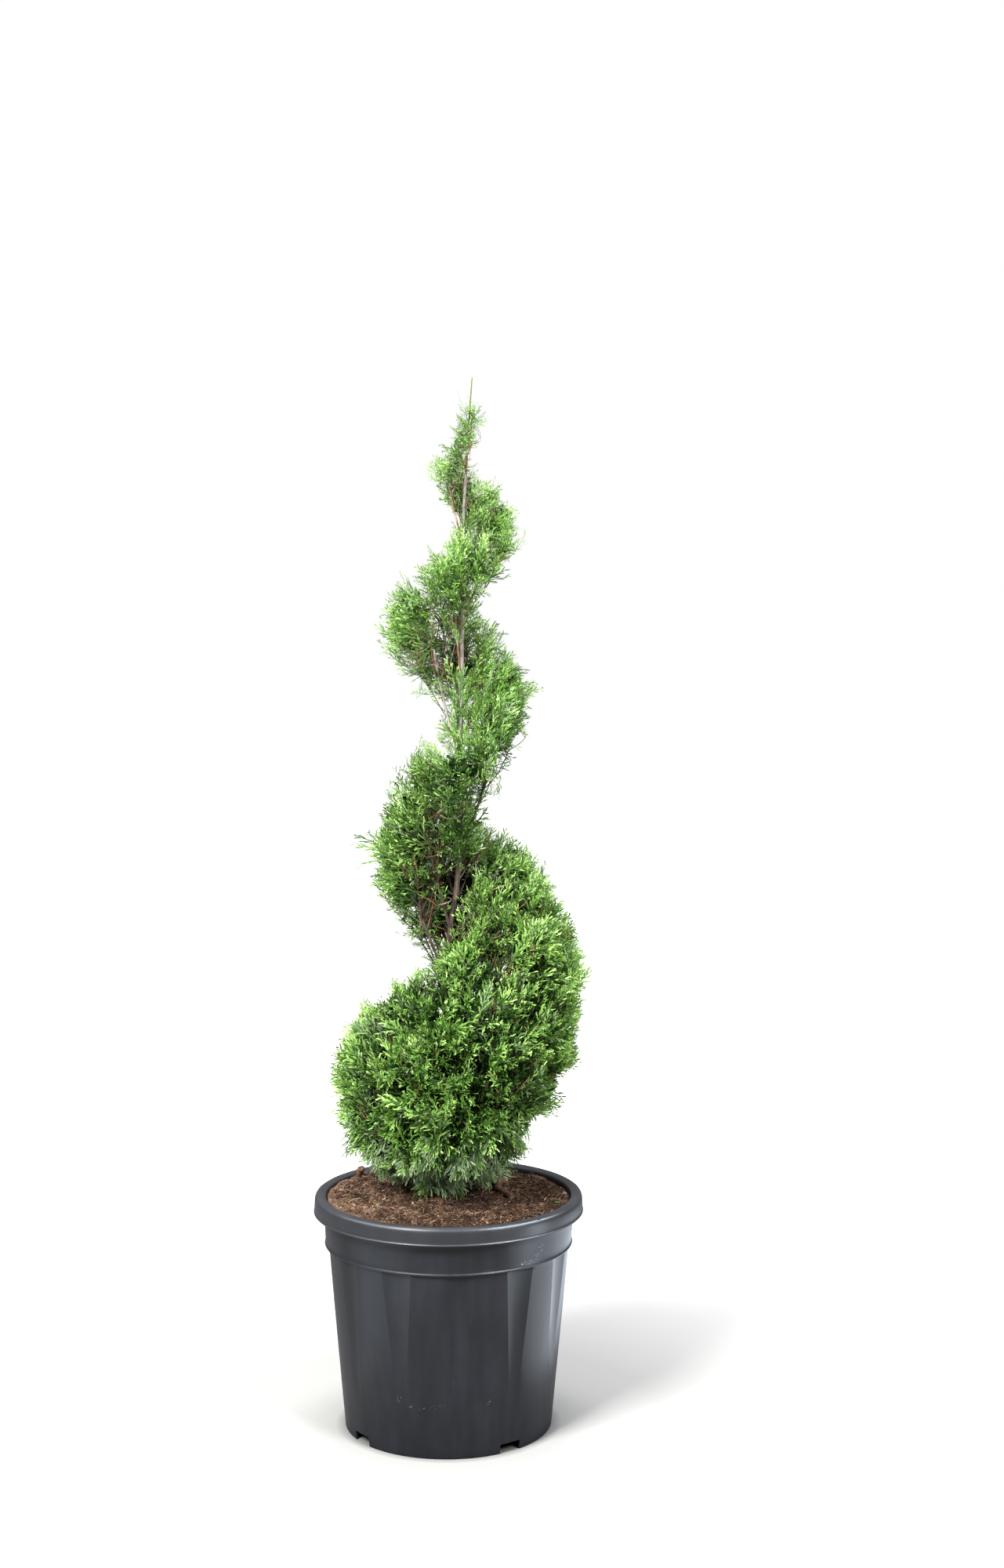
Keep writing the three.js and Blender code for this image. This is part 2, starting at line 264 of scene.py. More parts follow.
def tubes(paths: Array, radii: Array, sides: int) -> tuple[Array, Array, Array]:
    """Thin closed tubes along many paths at once.

    Args:
        paths: an n by k by 3 array, k points for each of n tubes.
        radii: an n by k array of their radii.
        sides: how many sides a tube has.

    Returns:
        The points, the wall faces with four corners and the end caps with one corner a side.
    """
    count, steps = radii.shape
    along = unit(np.gradient(paths, axis=1))
    across = unit(np.cross(along, TUBE_SIDE))
    over = np.cross(along, across)
    turn = (np.arange(sides) * 2 * math.pi / sides)[:, None]
    ring = across[:, :, None] * np.cos(turn) + over[:, :, None] * np.sin(turn)
    points = (paths[:, :, None] + ring * radii[:, :, None, None]).reshape(-1, 3)
    start = (np.arange(count) * steps * sides)[:, None, None]
    row = (np.arange(steps - 1) * sides)[:, None]
    here = start + row + np.arange(sides)
    beside = start + row + (np.arange(sides) + 1) % sides
    walls = np.stack([here, beside, beside + sides, here + sides], axis=-1).reshape(-1, 4)
    first = start[:, 0] + np.arange(sides)[::-1]
    last = start[:, 0] + (steps - 1) * sides + np.arange(sides)
    return points, walls, np.concatenate([first, last])


# ---- Finishes ----


class Nodes:
    """Puts shader nodes into a tree and joins them."""

    def __init__(self, tree: bpy.types.NodeTree) -> None:
        """Starts with the tree that the nodes go into."""
        self.tree = tree

    def feed(self, node: bpy.types.Node, inputs: dict[str | int, Value]) -> None:
        """Feeds a node's inputs.

        Args:
            node: the node.
            inputs: the socket or the plain value that each input gets, by its name or number.
        """
        for name, value in inputs.items():
            socket = node.inputs[name]
            if isinstance(value, Socket):
                self.tree.links.new(value, socket)
            elif socket.type == "RGBA":
                socket.default_value = (*value, 1.0)
            else:
                socket.default_value = value

    def add(self, kind: str, inputs: dict[str | int, Value] | None = None,
            **settings: object) -> bpy.types.Node:
        """Adds a node.

        Args:
            kind: its type.
            inputs: what its inputs get.
            settings: its properties by name.

        Returns:
            The node.
        """
        node = self.tree.nodes.new(kind)
        for name, value in settings.items():
            setattr(node, name, value)
        self.feed(node, inputs or {})
        return node

    def place(self) -> Socket:
        """Object coordinates."""
        return self.add("ShaderNodeTexCoord").outputs["Object"]

    def axis(self, vector: Socket, name: str) -> Socket:
        """One of a vector's three values."""
        return self.add("ShaderNodeSeparateXYZ", {0: vector}).outputs[name]

    def noise(self, vector: Socket, scale: float, detail: float = 4.0, rough: float = 0.55
              ) -> Socket:
        """The value of a noise texture."""
        return self.add("ShaderNodeTexNoise", {"Vector": vector, "Scale": scale, "Detail": detail,
                                               "Roughness": rough}).outputs["Fac"]

    def stretch(self, vector: Socket, scale: Colour) -> Socket:
        """A vector with each of its axes scaled."""
        return self.add("ShaderNodeMapping", {"Vector": vector, "Scale": scale}).outputs["Vector"]

    def ramp(self, value: Socket, stops: Sequence[tuple[float, Colour]]) -> Socket:
        """Turns a value into a colour.

        Args:
            value: the value.
            stops: places from 0 to 1 and the colour at each.

        Returns:
            The colour.
        """
        node = self.add("ShaderNodeValToRGB", {"Fac": value})
        band = node.color_ramp
        while len(band.elements) < len(stops):
            band.elements.new(1.0)
        for element, (place, colour) in zip(band.elements, stops):
            element.position = place
            element.color = (*colour, 1.0)
        return node.outputs["Color"]

    def span(self, value: Socket, source: tuple[float, float], target: tuple[float, float]
             ) -> Socket:
        """A value carried from one range to another and held at its ends."""
        return self.add("ShaderNodeMapRange", {
            "Value": value, "From Min": source[0], "From Max": source[1], "To Min": target[0],
            "To Max": target[1]}).outputs["Result"]

    def blend(self, share: Socket, first: Socket | Colour, second: Socket | Colour) -> Socket:
        """Two colours mixed by a share."""
        return self.add("ShaderNodeMix", {0: share, 6: first, 7: second},
                        data_type="RGBA").outputs[2]

    def maths(self, kind: str, first: Socket | float, second: Socket | float) -> Socket:
        """Two values worked into one."""
        return self.add("ShaderNodeMath", {0: first, 1: second}, operation=kind).outputs["Value"]

    def times(self, first: Socket, second: Socket | float) -> Socket:
        """One value multiplied by another."""
        return self.maths("MULTIPLY", first, second)

    def plus(self, first: Socket, second: Socket | float) -> Socket:
        """The sum of two values."""
        return self.maths("ADD", first, second)

    def bump(self, height: Socket, distance: float, strength: float) -> Socket:
        """A normal from a height."""
        return self.add("ShaderNodeBump", {"Height": height, "Distance": distance,
                                           "Strength": strength}).outputs["Normal"]


def new_material(name: str) -> tuple[Material, Nodes, bpy.types.Node]:
    """Starts a material.

    Args:
        name: its name.

    Returns:
        The material, its node tools and its Principled BSDF.
    """
    material = bpy.data.materials.new(name)
    material.use_nodes = True
    shader = material.node_tree.nodes["Principled BSDF"]
    return material, Nodes(material.node_tree), shader


def speckle_group() -> bpy.types.ShaderNodeTree:
    """A shader node group, built once: sparse specks and marks over a surface.

    Returns:
        The group, with Vector, Scale, Cover and Softness in, and Mask out.
    """
    name = "speckle"
    if name in bpy.data.node_groups:
        return bpy.data.node_groups[name]
    group = bpy.data.node_groups.new(name, "ShaderNodeTree")
    group.interface.new_socket("Vector", in_out="INPUT", socket_type="NodeSocketVector")
    for label, value in (("Scale", 200.0), ("Cover", 0.3), ("Softness", 0.1)):
        socket = group.interface.new_socket(label, in_out="INPUT", socket_type="NodeSocketFloat")
        socket.default_value = value
    group.interface.new_socket("Mask", in_out="OUTPUT", socket_type="NodeSocketFloat")
    nodes = Nodes(group)
    given = nodes.add("NodeGroupInput").outputs
    texture = nodes.add("ShaderNodeTexNoise", {
        "Detail": 3.0, "Vector": given["Vector"], "Scale": given["Scale"]})
    above = nodes.maths("SUBTRACT", 1.0, given["Cover"])
    span = nodes.add("ShaderNodeMapRange", {
        "Value": texture.outputs["Fac"], "From Min": above,
        "From Max": nodes.plus(above, given["Softness"])}, interpolation_type="SMOOTHSTEP")
    nodes.add("NodeGroupOutput", {"Mask": span.outputs["Result"]})
    return group


def speckle(nodes: Nodes, vector: Socket, scale: float, cover: float,
            softness: float) -> Socket:
    """Places the speckle group in a material with its own values.

    Args:
        nodes: the material's node tools.
        vector: the coordinates.
        scale: how fine the specks are.
        cover: how much of the surface they cover.
        softness: how soft their edges are.

    Returns:
        The mask.
    """
    node = nodes.add("ShaderNodeGroup", node_tree=speckle_group())
    nodes.feed(node, {"Vector": vector, "Scale": scale, "Cover": cover, "Softness": softness})
    return node.outputs["Mask"]


@dataclass(frozen=True)
class PotPlastic:
    """Blue-black moulded plastic, satin, with light scuffs, dust and water marks, and a paler rim
    that is partly handling scuffs and partly painted reflection of the bright overhead.
    """

    base: Colour = (0.0045, 0.0052, 0.0075)
    worn: Colour = (0.0112, 0.013, 0.019)
    dust: Colour = (0.075, 0.078, 0.085)
    scuff_and_sheen: Colour = (0.027, 0.028, 0.034)
    roughness: tuple[float, float] = (0.27, 0.4)
    rim: tuple[float, float] = (0.272, 0.284)

    def make(self) -> Material:
        """Builds the material.

        Returns:
            The material.
        """
        material, nodes, shader = new_material("pot_plastic")
        place = nodes.place()
        cloud = nodes.noise(place, 9.0, 3.0)
        flow = nodes.noise(nodes.stretch(place, (1.0, 1.0, 0.12)), 46.0, 4.0)
        wear = nodes.span(nodes.times(cloud, flow), (0.16, 0.42), (0.0, 1.0))
        colour = nodes.blend(wear, self.base, self.worn)
        scratch = speckle(nodes, nodes.stretch(place, (1.0, 1.0, 0.18)), 150.0, 0.3, 0.08)
        specks = speckle(nodes, place, 420.0, 0.3, 0.05)
        marks = nodes.maths("MAXIMUM", nodes.times(scratch, 0.35), specks)
        normal = nodes.add("ShaderNodeNewGeometry").outputs["Normal"]
        # Painted reflection with real scuffs: the rim's colour turns paler with height, standing
        # in for the bright overhead that its top reflects, broken up by noise like handling wear.
        rim_scuff_and_sheen_mask = nodes.times(nodes.span(nodes.axis(place, "Z"), self.rim, (0.0, 1.0)),
                              nodes.span(cloud, (0.3, 0.7), (0.4, 0.8)))
        colour = nodes.blend(rim_scuff_and_sheen_mask, colour, self.scuff_and_sheen)
        settled = nodes.span(nodes.axis(normal, "Z"), (0.1, 0.9), (0.1, 0.5))
        film = nodes.times(nodes.noise(place, 30.0, 6.0, 0.7), settled)
        soiled = nodes.plus(nodes.times(marks, 0.28), film)
        rough = nodes.span(nodes.plus(flow, nodes.times(film, 1.2)), (0.3, 0.9), self.roughness)
        waves = nodes.times(nodes.noise(place, 24.0, 2.0), 2.0)
        grain = nodes.plus(nodes.noise(place, 900.0, 2.0), waves)
        nodes.feed(shader, {
            "Base Color": nodes.blend(soiled, colour, self.dust), "Roughness": rough,
            "Specular IOR Level": 0.4,
            "Normal": nodes.bump(grain, distance=0.0002, strength=0.35)})
        return material


@dataclass(frozen=True)
class CompostFinish:
    """Peat with reddish-brown fibrous crumbs, darkest in its hollows and paler towards its left.
    The dark hollows are partly the peat's own damp colour and partly painted shade; the paler left
    is painted light from the key light's side.
    """

    damp_and_hollow_shade: Colour = (0.009, 0.005, 0.004)
    brown: Colour = (0.052, 0.026, 0.017)
    fibre: Colour = (0.2, 0.12, 0.078)
    lit_side_span: tuple[float, float] = (-0.02, -0.15)

    def make(self) -> Material:
        """Builds the material.

        Returns:
            The material.
        """
        material, nodes, shader = new_material("compost")
        place = nodes.place()
        clods = nodes.noise(place, 60.0, 8.0, 0.72)
        # Darkest where the clods' noise is low, where the bump also sinks: the peat's damp colour
        # with painted shade in the hollows.
        colour = nodes.ramp(clods, ((0.36, self.damp_and_hollow_shade), (0.5, self.brown), (0.66, self.fibre)))
        pale = speckle(nodes, place, 520.0, 0.33, 0.06)
        # Painted light: paler towards the left, where the key light falls.
        painted_lit_side = nodes.span(nodes.axis(place, "X"), self.lit_side_span, (0.0, 0.5))
        height = nodes.plus(clods, nodes.times(nodes.noise(place, 420.0, 4.0), 0.5))
        paleness = nodes.plus(nodes.times(pale, 0.6), painted_lit_side)
        nodes.feed(shader, {
            "Base Color": nodes.blend(paleness, colour, self.fibre),
            "Roughness": nodes.span(clods, (0.3, 0.8), (0.72, 0.98)),
            "Specular IOR Level": 0.25,
            "Normal": nodes.bump(height, distance=0.003, strength=0.9)})
        return material


@dataclass(frozen=True)
class BarkFinish:
    """Thin fibrous bark that peels in upright strips."""

    name: str
    dark: Colour
    mid: Colour
    pale: Colour

    def make(self) -> Material:
        """Builds the material.

        Returns:
            The material.
        """
        material, nodes, shader = new_material(self.name)
        place = nodes.place()
        strips = nodes.noise(nodes.stretch(place, (1.0, 1.0, 0.09)), 330.0, 6.0, 0.65)
        patches = nodes.noise(place, 34.0, 4.0)
        value = nodes.plus(nodes.times(strips, 0.7), nodes.times(patches, 0.3))
        colour = nodes.ramp(value, ((0.36, self.dark), (0.5, self.mid), (0.66, self.pale)))
        lichen = speckle(nodes, place, 260.0, 0.34, 0.05)
        nodes.feed(shader, {
            "Base Color": nodes.blend(nodes.times(lichen, 0.4), colour, self.pale),
            "Roughness": nodes.span(strips, (0.3, 0.7), (0.7, 0.95)),
            "Specular IOR Level": 0.3,
            "Normal": nodes.bump(strips, distance=0.0012, strength=0.9)})
        return material


@dataclass(frozen=True)
class PlainFinish:
    """One plain colour, for leaves, twigs and crumbs, which get their variety piece by piece."""

    name: str
    colour: Colour
    roughness: float = 0.55
    specular: float = 0.35

    def make(self) -> Material:
        """Builds the material.

        Returns:
            The material.
        """
        material, nodes, shader = new_material(self.name)
        nodes.feed(shader, {"Base Color": self.colour, "Roughness": self.roughness,
                            "Specular IOR Level": self.specular})
        material.diffuse_color = (*self.colour, 1.0)
        return material


class FinishRow(Enum):
    """A row of plain finishes that one piece has as its material slots."""

    @property
    def slot(self) -> int:
        """Its number among the material slots."""
        return list(type(self)).index(self)


def made(finish: BarkFinish | PlainFinish) -> Material:
    """The material of a finish, made once."""
    return bpy.data.materials.get(finish.name) or finish.make()


def material_row(kinds: Iterable[FinishRow]) -> list[Material]:
    """The materials of a row of finishes, in the order of their slots."""
    return [made(kind.value) for kind in kinds]


OLD_BARK = BarkFinish("bark_grey", (0.09, 0.066, 0.053), (0.27, 0.24, 0.22), (0.52, 0.5, 0.48))
# Painted shade: this near-black bark stands for the shadow in the open groove, on the lower stem
# and the lower boughs.
SHADE_PAINTED_BARK = BarkFinish("bark_painted_shade", (0.022, 0.014, 0.01), (0.06, 0.041, 0.031),
                       (0.17, 0.135, 0.11))
ROOT_BARK = BarkFinish("root_bark", (0.03, 0.016, 0.011), (0.12, 0.062, 0.038),
                       (0.3, 0.18, 0.115))
YOUNG_BARK = BarkFinish("bark_young", (0.1, 0.048, 0.025), (0.23, 0.125, 0.07),
                        (0.45, 0.34, 0.26))


class Leaf(FinishRow):
    """The greens of the scale leaves, and the brown of a dead spray, as material slots."""

    # BRIGHT and SILVER are paled towards white, partly the fresh tips' own colour and partly
    # painted sheen of the waxy scale leaves.
    BRIGHT = PlainFinish("leaf_bright", (0.41, 0.63, 0.185), 0.4, 0.42)
    FRESH = PlainFinish("leaf_fresh", (0.23, 0.44, 0.082), 0.38, 0.5)
    MID = PlainFinish("leaf_mid", (0.11, 0.235, 0.038), 0.4, 0.5)
    DEEP = PlainFinish("leaf_deep", (0.041, 0.112, 0.016), 0.5, 0.4)
    DARK = PlainFinish("leaf_dark", (0.013, 0.034, 0.007), 0.7, 0.15)
    GREY = PlainFinish("leaf_grey", (0.15, 0.235, 0.1), 0.5, 0.5)
    SILVER = PlainFinish("leaf_silver", (0.28, 0.385, 0.2), 0.45, 0.5)
    PALE = PlainFinish("leaf_pale", (0.42, 0.5, 0.24), 0.5, 0.4)
    WOODY = PlainFinish("leaf_woody", (0.2, 0.12, 0.045))
    BROWN = PlainFinish("leaf_brown", (0.2, 0.1, 0.045))


class Wood(FinishRow):
    """The colours of the twigs, as material slots."""

    OLD = PlainFinish("twig_old", (0.066, 0.045, 0.033), 0.85, 0.25)
    PALE = PlainFinish("twig_pale", (0.3, 0.24, 0.19), 0.85, 0.25)
    YOUNG = PlainFinish("twig_young", (0.2, 0.1, 0.05), 0.75, 0.3)
    GREEN = PlainFinish("twig_green", (0.12, 0.155, 0.045), 0.7, 0.3)


# ---- Pot ----


class Splash(FinishRow):
    """What has dried or beaded on the pot's wall, as material slots."""

    # The water beads' pale grey is a painted glint: clear water would show the black plastic
    # through.
    WATER = PlainFinish("water_bead_painted_glint", (0.24, 0.26, 0.29), 0.08, 0.5)
    MUD = PlainFinish("dried_splash", (0.2, 0.17, 0.14), 0.8, 0.2)


# Finish, angle from the front and spread, lowest and highest place, and how many.
SPLASHES = (
    (Splash.WATER, (43.5, 4.5), (0.246, 0.269), 26),
    (Splash.WATER, (37.0, 5.0), (0.246, 0.2495), 7),
    (Splash.MUD, (-26.0, 2.0), (0.066, 0.079), 12),
    (Splash.MUD, (-20.0, 2.5), (0.064, 0.068), 6),
    (Splash.MUD, (-13.0, 9.0), (0.064, 0.072), 12),
    (Splash.MUD, (20.5, 4.0), (0.066, 0.075), 12),
)


# The corners and the faces of a lump, before it is made uneven.
GOLDEN = (1 + math.sqrt(5)) / 2
LUMP_CORNERS = unit(np.array([
    (-1, GOLDEN, 0), (1, GOLDEN, 0), (-1, -GOLDEN, 0), (1, -GOLDEN, 0), (0, -1, GOLDEN),
    (0, 1, GOLDEN), (0, -1, -GOLDEN), (0, 1, -GOLDEN), (GOLDEN, 0, -1), (GOLDEN, 0, 1),
    (-GOLDEN, 0, -1), (-GOLDEN, 0, 1)]))
LUMP_FACES = np.array([
    (0, 11, 5), (0, 5, 1), (0, 1, 7), (0, 7, 10), (0, 10, 11), (1, 5, 9), (5, 11, 4),
    (11, 10, 2), (10, 7, 6), (7, 1, 8), (3, 9, 4), (3, 4, 2), (3, 2, 6), (3, 6, 8), (3, 8, 9),
    (4, 9, 5), (2, 4, 11), (6, 2, 10), (8, 6, 7), (9, 8, 1)])


def lumps(rng: Rng, places: Array, size: Array, rough: float
          ) -> tuple[Array, Array]:
    """Uneven little lumps.

    Args:
        rng: the random numbers.
        places: their centres.
        size: their radii.
        rough: how uneven they are.

    Returns:
        Points and triangles.
    """
    n, corners = len(places), len(LUMP_CORNERS)
    stretch = 1 + rough * rng.uniform(-0.5, 0.5, (n, 1, 3))
    jitter = 1 + rough * rng.uniform(-0.3, 0.27, (n, corners, 1))
    turn = np.linalg.qr(rng.normal(size=(n, 3, 3)))[0]
    turn *= np.linalg.det(turn)[:, None, None]
    points = places[:, None] + (LUMP_CORNERS * stretch * jitter) @ turn * size[:, None, None]
    index = LUMP_FACES[None] + corners * np.arange(n)[:, None, None]
    return points.reshape(-1, 3), index.reshape(-1, 3)


@dataclass
class NurseryPot:
    """The moulded pot: fluted wall, collar, thick rim, raised floor and a notched foot ring."""

    base_radius: float = 0.1366
    body_top_radius: float = 0.16
    wall: float = 0.003
    foot_depth: float = 0.014
    floor: float = 0.003
    floor_middle: float = 0.03
    collar_bottom: float = 0.24
    collar_radius: float = 0.1636
    collar_flare: float = 0.036
    flutes: int = 12
    flute_turn: float = 6.5
    flute_depth: float = 0.0034
    flute_half_width: tuple[float, float] = (2.4, 7.4)
    flute_bottom: float = 0.052
    crisp: tuple[float, float] = (0.22, 0.99)
    notches: int = 4
    notch_turn: float = 36.5
    notch_size: tuple[float, float, float] = (0.031, 0.018, 0.025)
    notch_bevel: float = 0.0015
    columns: tuple[float, ...] = (-1.0, -0.96, -0.6, -0.2, 0.2, 0.6, 0.96, 1.0)
    columns_between: int = 8

    def body_radius(self, height: Array | float) -> Array | float:
        """Outside radius of the plain taper at a height."""
        share = height / self.collar_bottom
        return self.base_radius + (self.body_top_radius - self.base_radius) * share

    def profile(self) -> list[tuple[float, float]]:
        """Lists the wall's outline, from the raised floor's underside round the foot, up the
        outside, over the rim and down the inside to the floor.

        Returns:
            Radius and height of each point.
        """
        under, inner = self.foot_depth, self.foot_depth + self.floor
        foot = self.body_radius(under) - self.wall
        outline = [(self.floor_middle, under), (0.08, under), (foot - 0.001, under),
                   (foot, under - 0.001),
                   (self.base_radius - self.wall, 0.0008), (self.base_radius - 0.0022, 0.0),
                   (self.base_radius - 0.0007, 0.0), (self.base_radius, 0.0008)]
        heights = [0.006, 0.0128, 0.02, 0.03, 0.041, *np.linspace(self.flute_bottom, 0.228, 16),
                   0.234, 0.2378]
        outline += [(self.body_radius(z), z) for z in heights]
        outline += [(0.1601, 0.2388), (0.161, 0.2393), (0.163, 0.2396), (0.1641, 0.2401),
                    (0.1645, 0.241), (0.1644, 0.2419), (0.1638, 0.2429), (0.1635, 0.2442),
                    (0.1637, 0.25), (0.1641, 0.258), (0.1645, 0.268), (0.1648, 0.2775),
                    (0.1653, 0.2797), (0.1664, 0.2808), (0.169, 0.2811), (0.1762, 0.2811),
                    (0.1782, 0.2814), (0.179, 0.2822), (0.1791, 0.2833), (0.1786, 0.2842),
                    (0.1783, 0.2856), (0.1783, 0.289), (0.1781, 0.2935), (0.1779, 0.2972),
                    (0.1776, 0.2998), (0.177, 0.3017), (0.176, 0.3033), (0.1744, 0.3044),
                    (0.1724, 0.3049), (0.1702, 0.3048), (0.168, 0.3043), (0.1657, 0.3038),
                    (0.1641, 0.3034), (0.1631, 0.3026), (0.1626, 0.3012), (0.1624, 0.297),
                    (0.1622, 0.289), (0.1617, 0.274), (0.161, 0.256), (0.1604, 0.243),
                    (0.1573, 0.2392)]
        outline += [(self.body_radius(z) - self.wall, z)
                    for z in (0.228, 0.19, 0.15, 0.11, 0.07, 0.03, inner + 0.002)]
        outline += [(self.body_radius(inner) - self.wall - 0.002, inner), (0.08, inner),
                    (self.floor_middle, inner)]
        return outline

    def flute_at(self, height: float) -> tuple[float, float]:
        """How far up the flutes a height is, from 0 to 1, and half a flute's angle there."""
        span = self.collar_bottom - self.flute_bottom
        share = min(max((height - self.flute_bottom) / span, 0), 1)
        narrow, wide = self.flute_half_width
        return share, narrow + (wide - narrow) * share

    def shape(self, piece: Piece, count: int) -> None:
        """Moves the wall's vertices round to the flutes' edges and presses the flutes in.

        Args:
            piece: the drawn pot, still a plain turned wall.
            count: vertices in a ring.
        """
        pitch = 360.0 / self.flutes
        for vertex in piece.data.vertices:
            x, y, z = vertex.co
            radius = math.hypot(x, y)
            share, half = self.flute_at(z)
            flute, place = divmod(vertex.index % count, count // self.flutes)
            between = place - len(self.columns)
            if between < 0:
                swing = self.columns[place] * half
                depth = self.flute_depth * share * (1.0 - self.columns[place] ** 2)
            else:
                swing = half + (between + 1) / (self.columns_between + 1) * (pitch - 2 * half)
                depth = 0.0
            on_wall = radius > self.base_radius - 3 * self.wall and z < self.collar_bottom
            radius -= depth if on_wall else 0.0
            angle = math.radians(self.flute_turn + flute * pitch + swing)
            vertex.co = (radius * math.sin(angle), -radius * math.cos(angle), z)

    def draw(self) -> Piece:
        """Draws the wall and both floors, with columns of vertices where the flutes need them.

        Returns:
            The piece, still without its material.
        """
        count = self.flutes * (len(self.columns) + self.columns_between)
        piece = drawn_body(count, np.array([(0, 0, z, radius) for radius, z in self.profile()]))
        self.shape(piece, count)
        return piece

    def on_edge(self, point: Vector) -> bool:
        """Looks whether a point of the outside lies on the edge of a flute.

        Args:
            point: the point.

        Returns:
            True if it does.
        """
        share, half = self.flute_at(point.z)
        low, high = self.crisp
        outside = math.hypot(point.x, point.y) >= self.body_radius(point.z) - self.wall * 0.5
        pitch = 360.0 / self.flutes
        angle = math.degrees(math.atan2(point.x, -point.y)) - self.flute_turn
        offset = abs((angle + pitch / 2) % pitch - pitch / 2)
        return low < share < high and outside and abs(offset - half) < 0.12

    def sharpen(self, piece: Piece) -> None:
        """Marks the flutes' long edges sharp, so that the light breaks on them."""
        flags = [self.on_edge(v.co) for v in piece.data.vertices]
        for edge in piece.data.edges:
            a, b = edge.vertices
            upright = abs(piece.data.vertices[a].co.z - piece.data.vertices[b].co.z) > 0.002
            edge.use_edge_sharp = flags[a] and flags[b] and upright

    def cut_notches(self, piece: Piece) -> None:
        """Cuts the drainage notches out of the foot ring."""
        for i in range(self.notches):
            angle = math.radians(self.notch_turn + 360.0 / self.notches * i)
            place = (self.base_radius * math.sin(angle), -self.base_radius * math.cos(angle), 0)
            deselect_all()
            bpy.ops.mesh.primitive_cube_add(size=1.0, rotation=(0, 0, angle), location=place)
            cutter = bpy.context.object
            cutter.scale = self.notch_size
            bpy.ops.object.transform_apply(location=True, rotation=True, scale=True)
            apply_modifier(cutter, "BEVEL", width=self.notch_bevel, segments=3)
            apply_modifier(piece, "BOOLEAN", operation="DIFFERENCE", object=cutter,
                           solver="EXACT")
            bpy.data.objects.remove(cutter)

    def splashes(self) -> Piece:
        """Beads of water on the collar, and dried splashes low on the wall.

        Returns:
            The finished piece.
        """
        rng = np.random.default_rng(7)
        angles, heights, finishes = [], [], []
        for finish, (angle, spread), (low, high), count in SPLASHES:
            share = rng.uniform(0, 1, count)
            heights.append(low + (high - low) * (share + rng.normal(0, 0.12, count)))
            angles.append(np.radians(angle + spread * (share + rng.normal(0, 0.3, count))))
            finishes.append(np.full(count, finish.slot))
        angle, height = np.concatenate(angles), np.concatenate(heights)
        finish = np.concatenate(finishes)
        collar = self.collar_radius + (height - 0.2445) * self.collar_flare
        radius = np.where(height > self.collar_bottom, collar, self.body_radius(height))
        out = np.stack([np.sin(angle), -np.cos(angle), np.zeros(len(angle))], axis=1)
        places = out * radius[:, None] + UP * height[:, None]
        size = 0.0003 + 0.0006 * rng.beta(1.2, 2.5, len(angle))
        size *= np.where(finish == Splash.MUD.slot, 0.65, 1.5)
        points, faces = lumps(rng, places, size, 0.25)
        piece = mesh_piece("pot_splashes", points, [faces], np.repeat(finish, len(LUMP_FACES)),
                           material_row(Splash))
        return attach(piece, BODY)

    def build(self) -> list[Piece]:
        """Builds the pot and gives it its finish.

        Returns:
            The finished pieces.
        """
        splashes = self.splashes()
        piece = self.draw()
        self.sharpen(piece)
        self.cut_notches(piece)
        activate(piece)
        bpy.ops.object.shade_smooth_by_angle(angle=math.radians(32), keep_sharp_edges=True)
        settle(piece, "nursery_pot")
        piece.data.materials.append(PotPlastic().make())
        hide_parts("pot")
        return [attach(piece, BODY), splashes]


# ---- Compost ----


class Crumb(FinishRow):
    """The colours of the loose bits on the compost, as material slots."""

    DARK = PlainFinish("crumb_dark", (0.0125, 0.0072, 0.005), 0.95, 0.2)
    BROWN = PlainFinish("crumb_brown", (0.068, 0.036, 0.022), 0.95, 0.2)
    RED = PlainFinish("crumb_red", (0.16, 0.085, 0.05), 0.95, 0.2)
    TAN = PlainFinish("crumb_tan", (0.36, 0.245, 0.165), 0.9, 0.2)
    CREAM = PlainFinish("crumb_cream", (0.5, 0.4, 0.28), 0.85, 0.25)
    GREEN = PlainFinish("crumb_green", (0.13, 0.27, 0.05), 0.6, 0.3)


@dataclass(frozen=True)
class Root:
    """A root from one place to another, with its rise over the compost at three points."""

    start: tuple[float, float]
    end: tuple[float, float]
    bow: float
    rise: tuple[float, float, float]
    girth: tuple[float, float]
    rootlets: int

    def path(self, share: Array) -> Array:
        """Lists points along the root.

        Args:
            share: where along it, from 0 to 1.

        Returns:
            The points, whose height is over the surface.
        """
        a, b = np.array(self.start), np.array(self.end)
        side = np.array([a[1] - b[1], b[0] - a[0]]) * self.bow
        flat = a + (b - a) * share[:, None] + side * (4 * share * (1 - share))[:, None]
        return np.column_stack([flat, np.interp(share, (0, 0.5, 1), self.rise)])


ROOTS = (
    Root((0.072, 0.078), (0.088, -0.024), -0.14, (0.003, 0.0045, -0.001), (0.0058, 0.0042), 5),
    Root((0.082, 0.02), (0.104, -0.004), 0.25, (0.001, 0.001, -0.001), (0.0026, 0.0012), 2),
    Root((-0.024, -0.04), (-0.004, -0.052), 0.1, (0.001, 0.004, 0.0), (0.0045, 0.005), 3),
    Root((-0.118, 0.086), (-0.126, 0.082), 0.1, (-0.004, 0.006, 0.013), (0.0055, 0.0045), 1),
    Root((-0.07, -0.07), (-0.098, -0.088), -0.2, (-0.001, 0.001, -0.001), (0.0026, 0.0012), 1),
)


# The corners and the faces of a chip, in half its length, width and thickness.
CHIP_CORNERS = np.array([(-1, -0.8, -1), (1, -0.5, -1), (0.9, 0.6, -1), (-0.9, 1, -1),
                         (-0.9, -0.8, 1), (0.9, -0.4, 1), (1, 0.6, 1), (-1, 0.8, 1)])
CHIP_FACES = np.array([(0, 3, 2, 1), (4, 5, 6, 7), (0, 1, 5, 4), (1, 2, 6, 5), (2, 3, 7, 6),
                       (3, 0, 4, 7)])


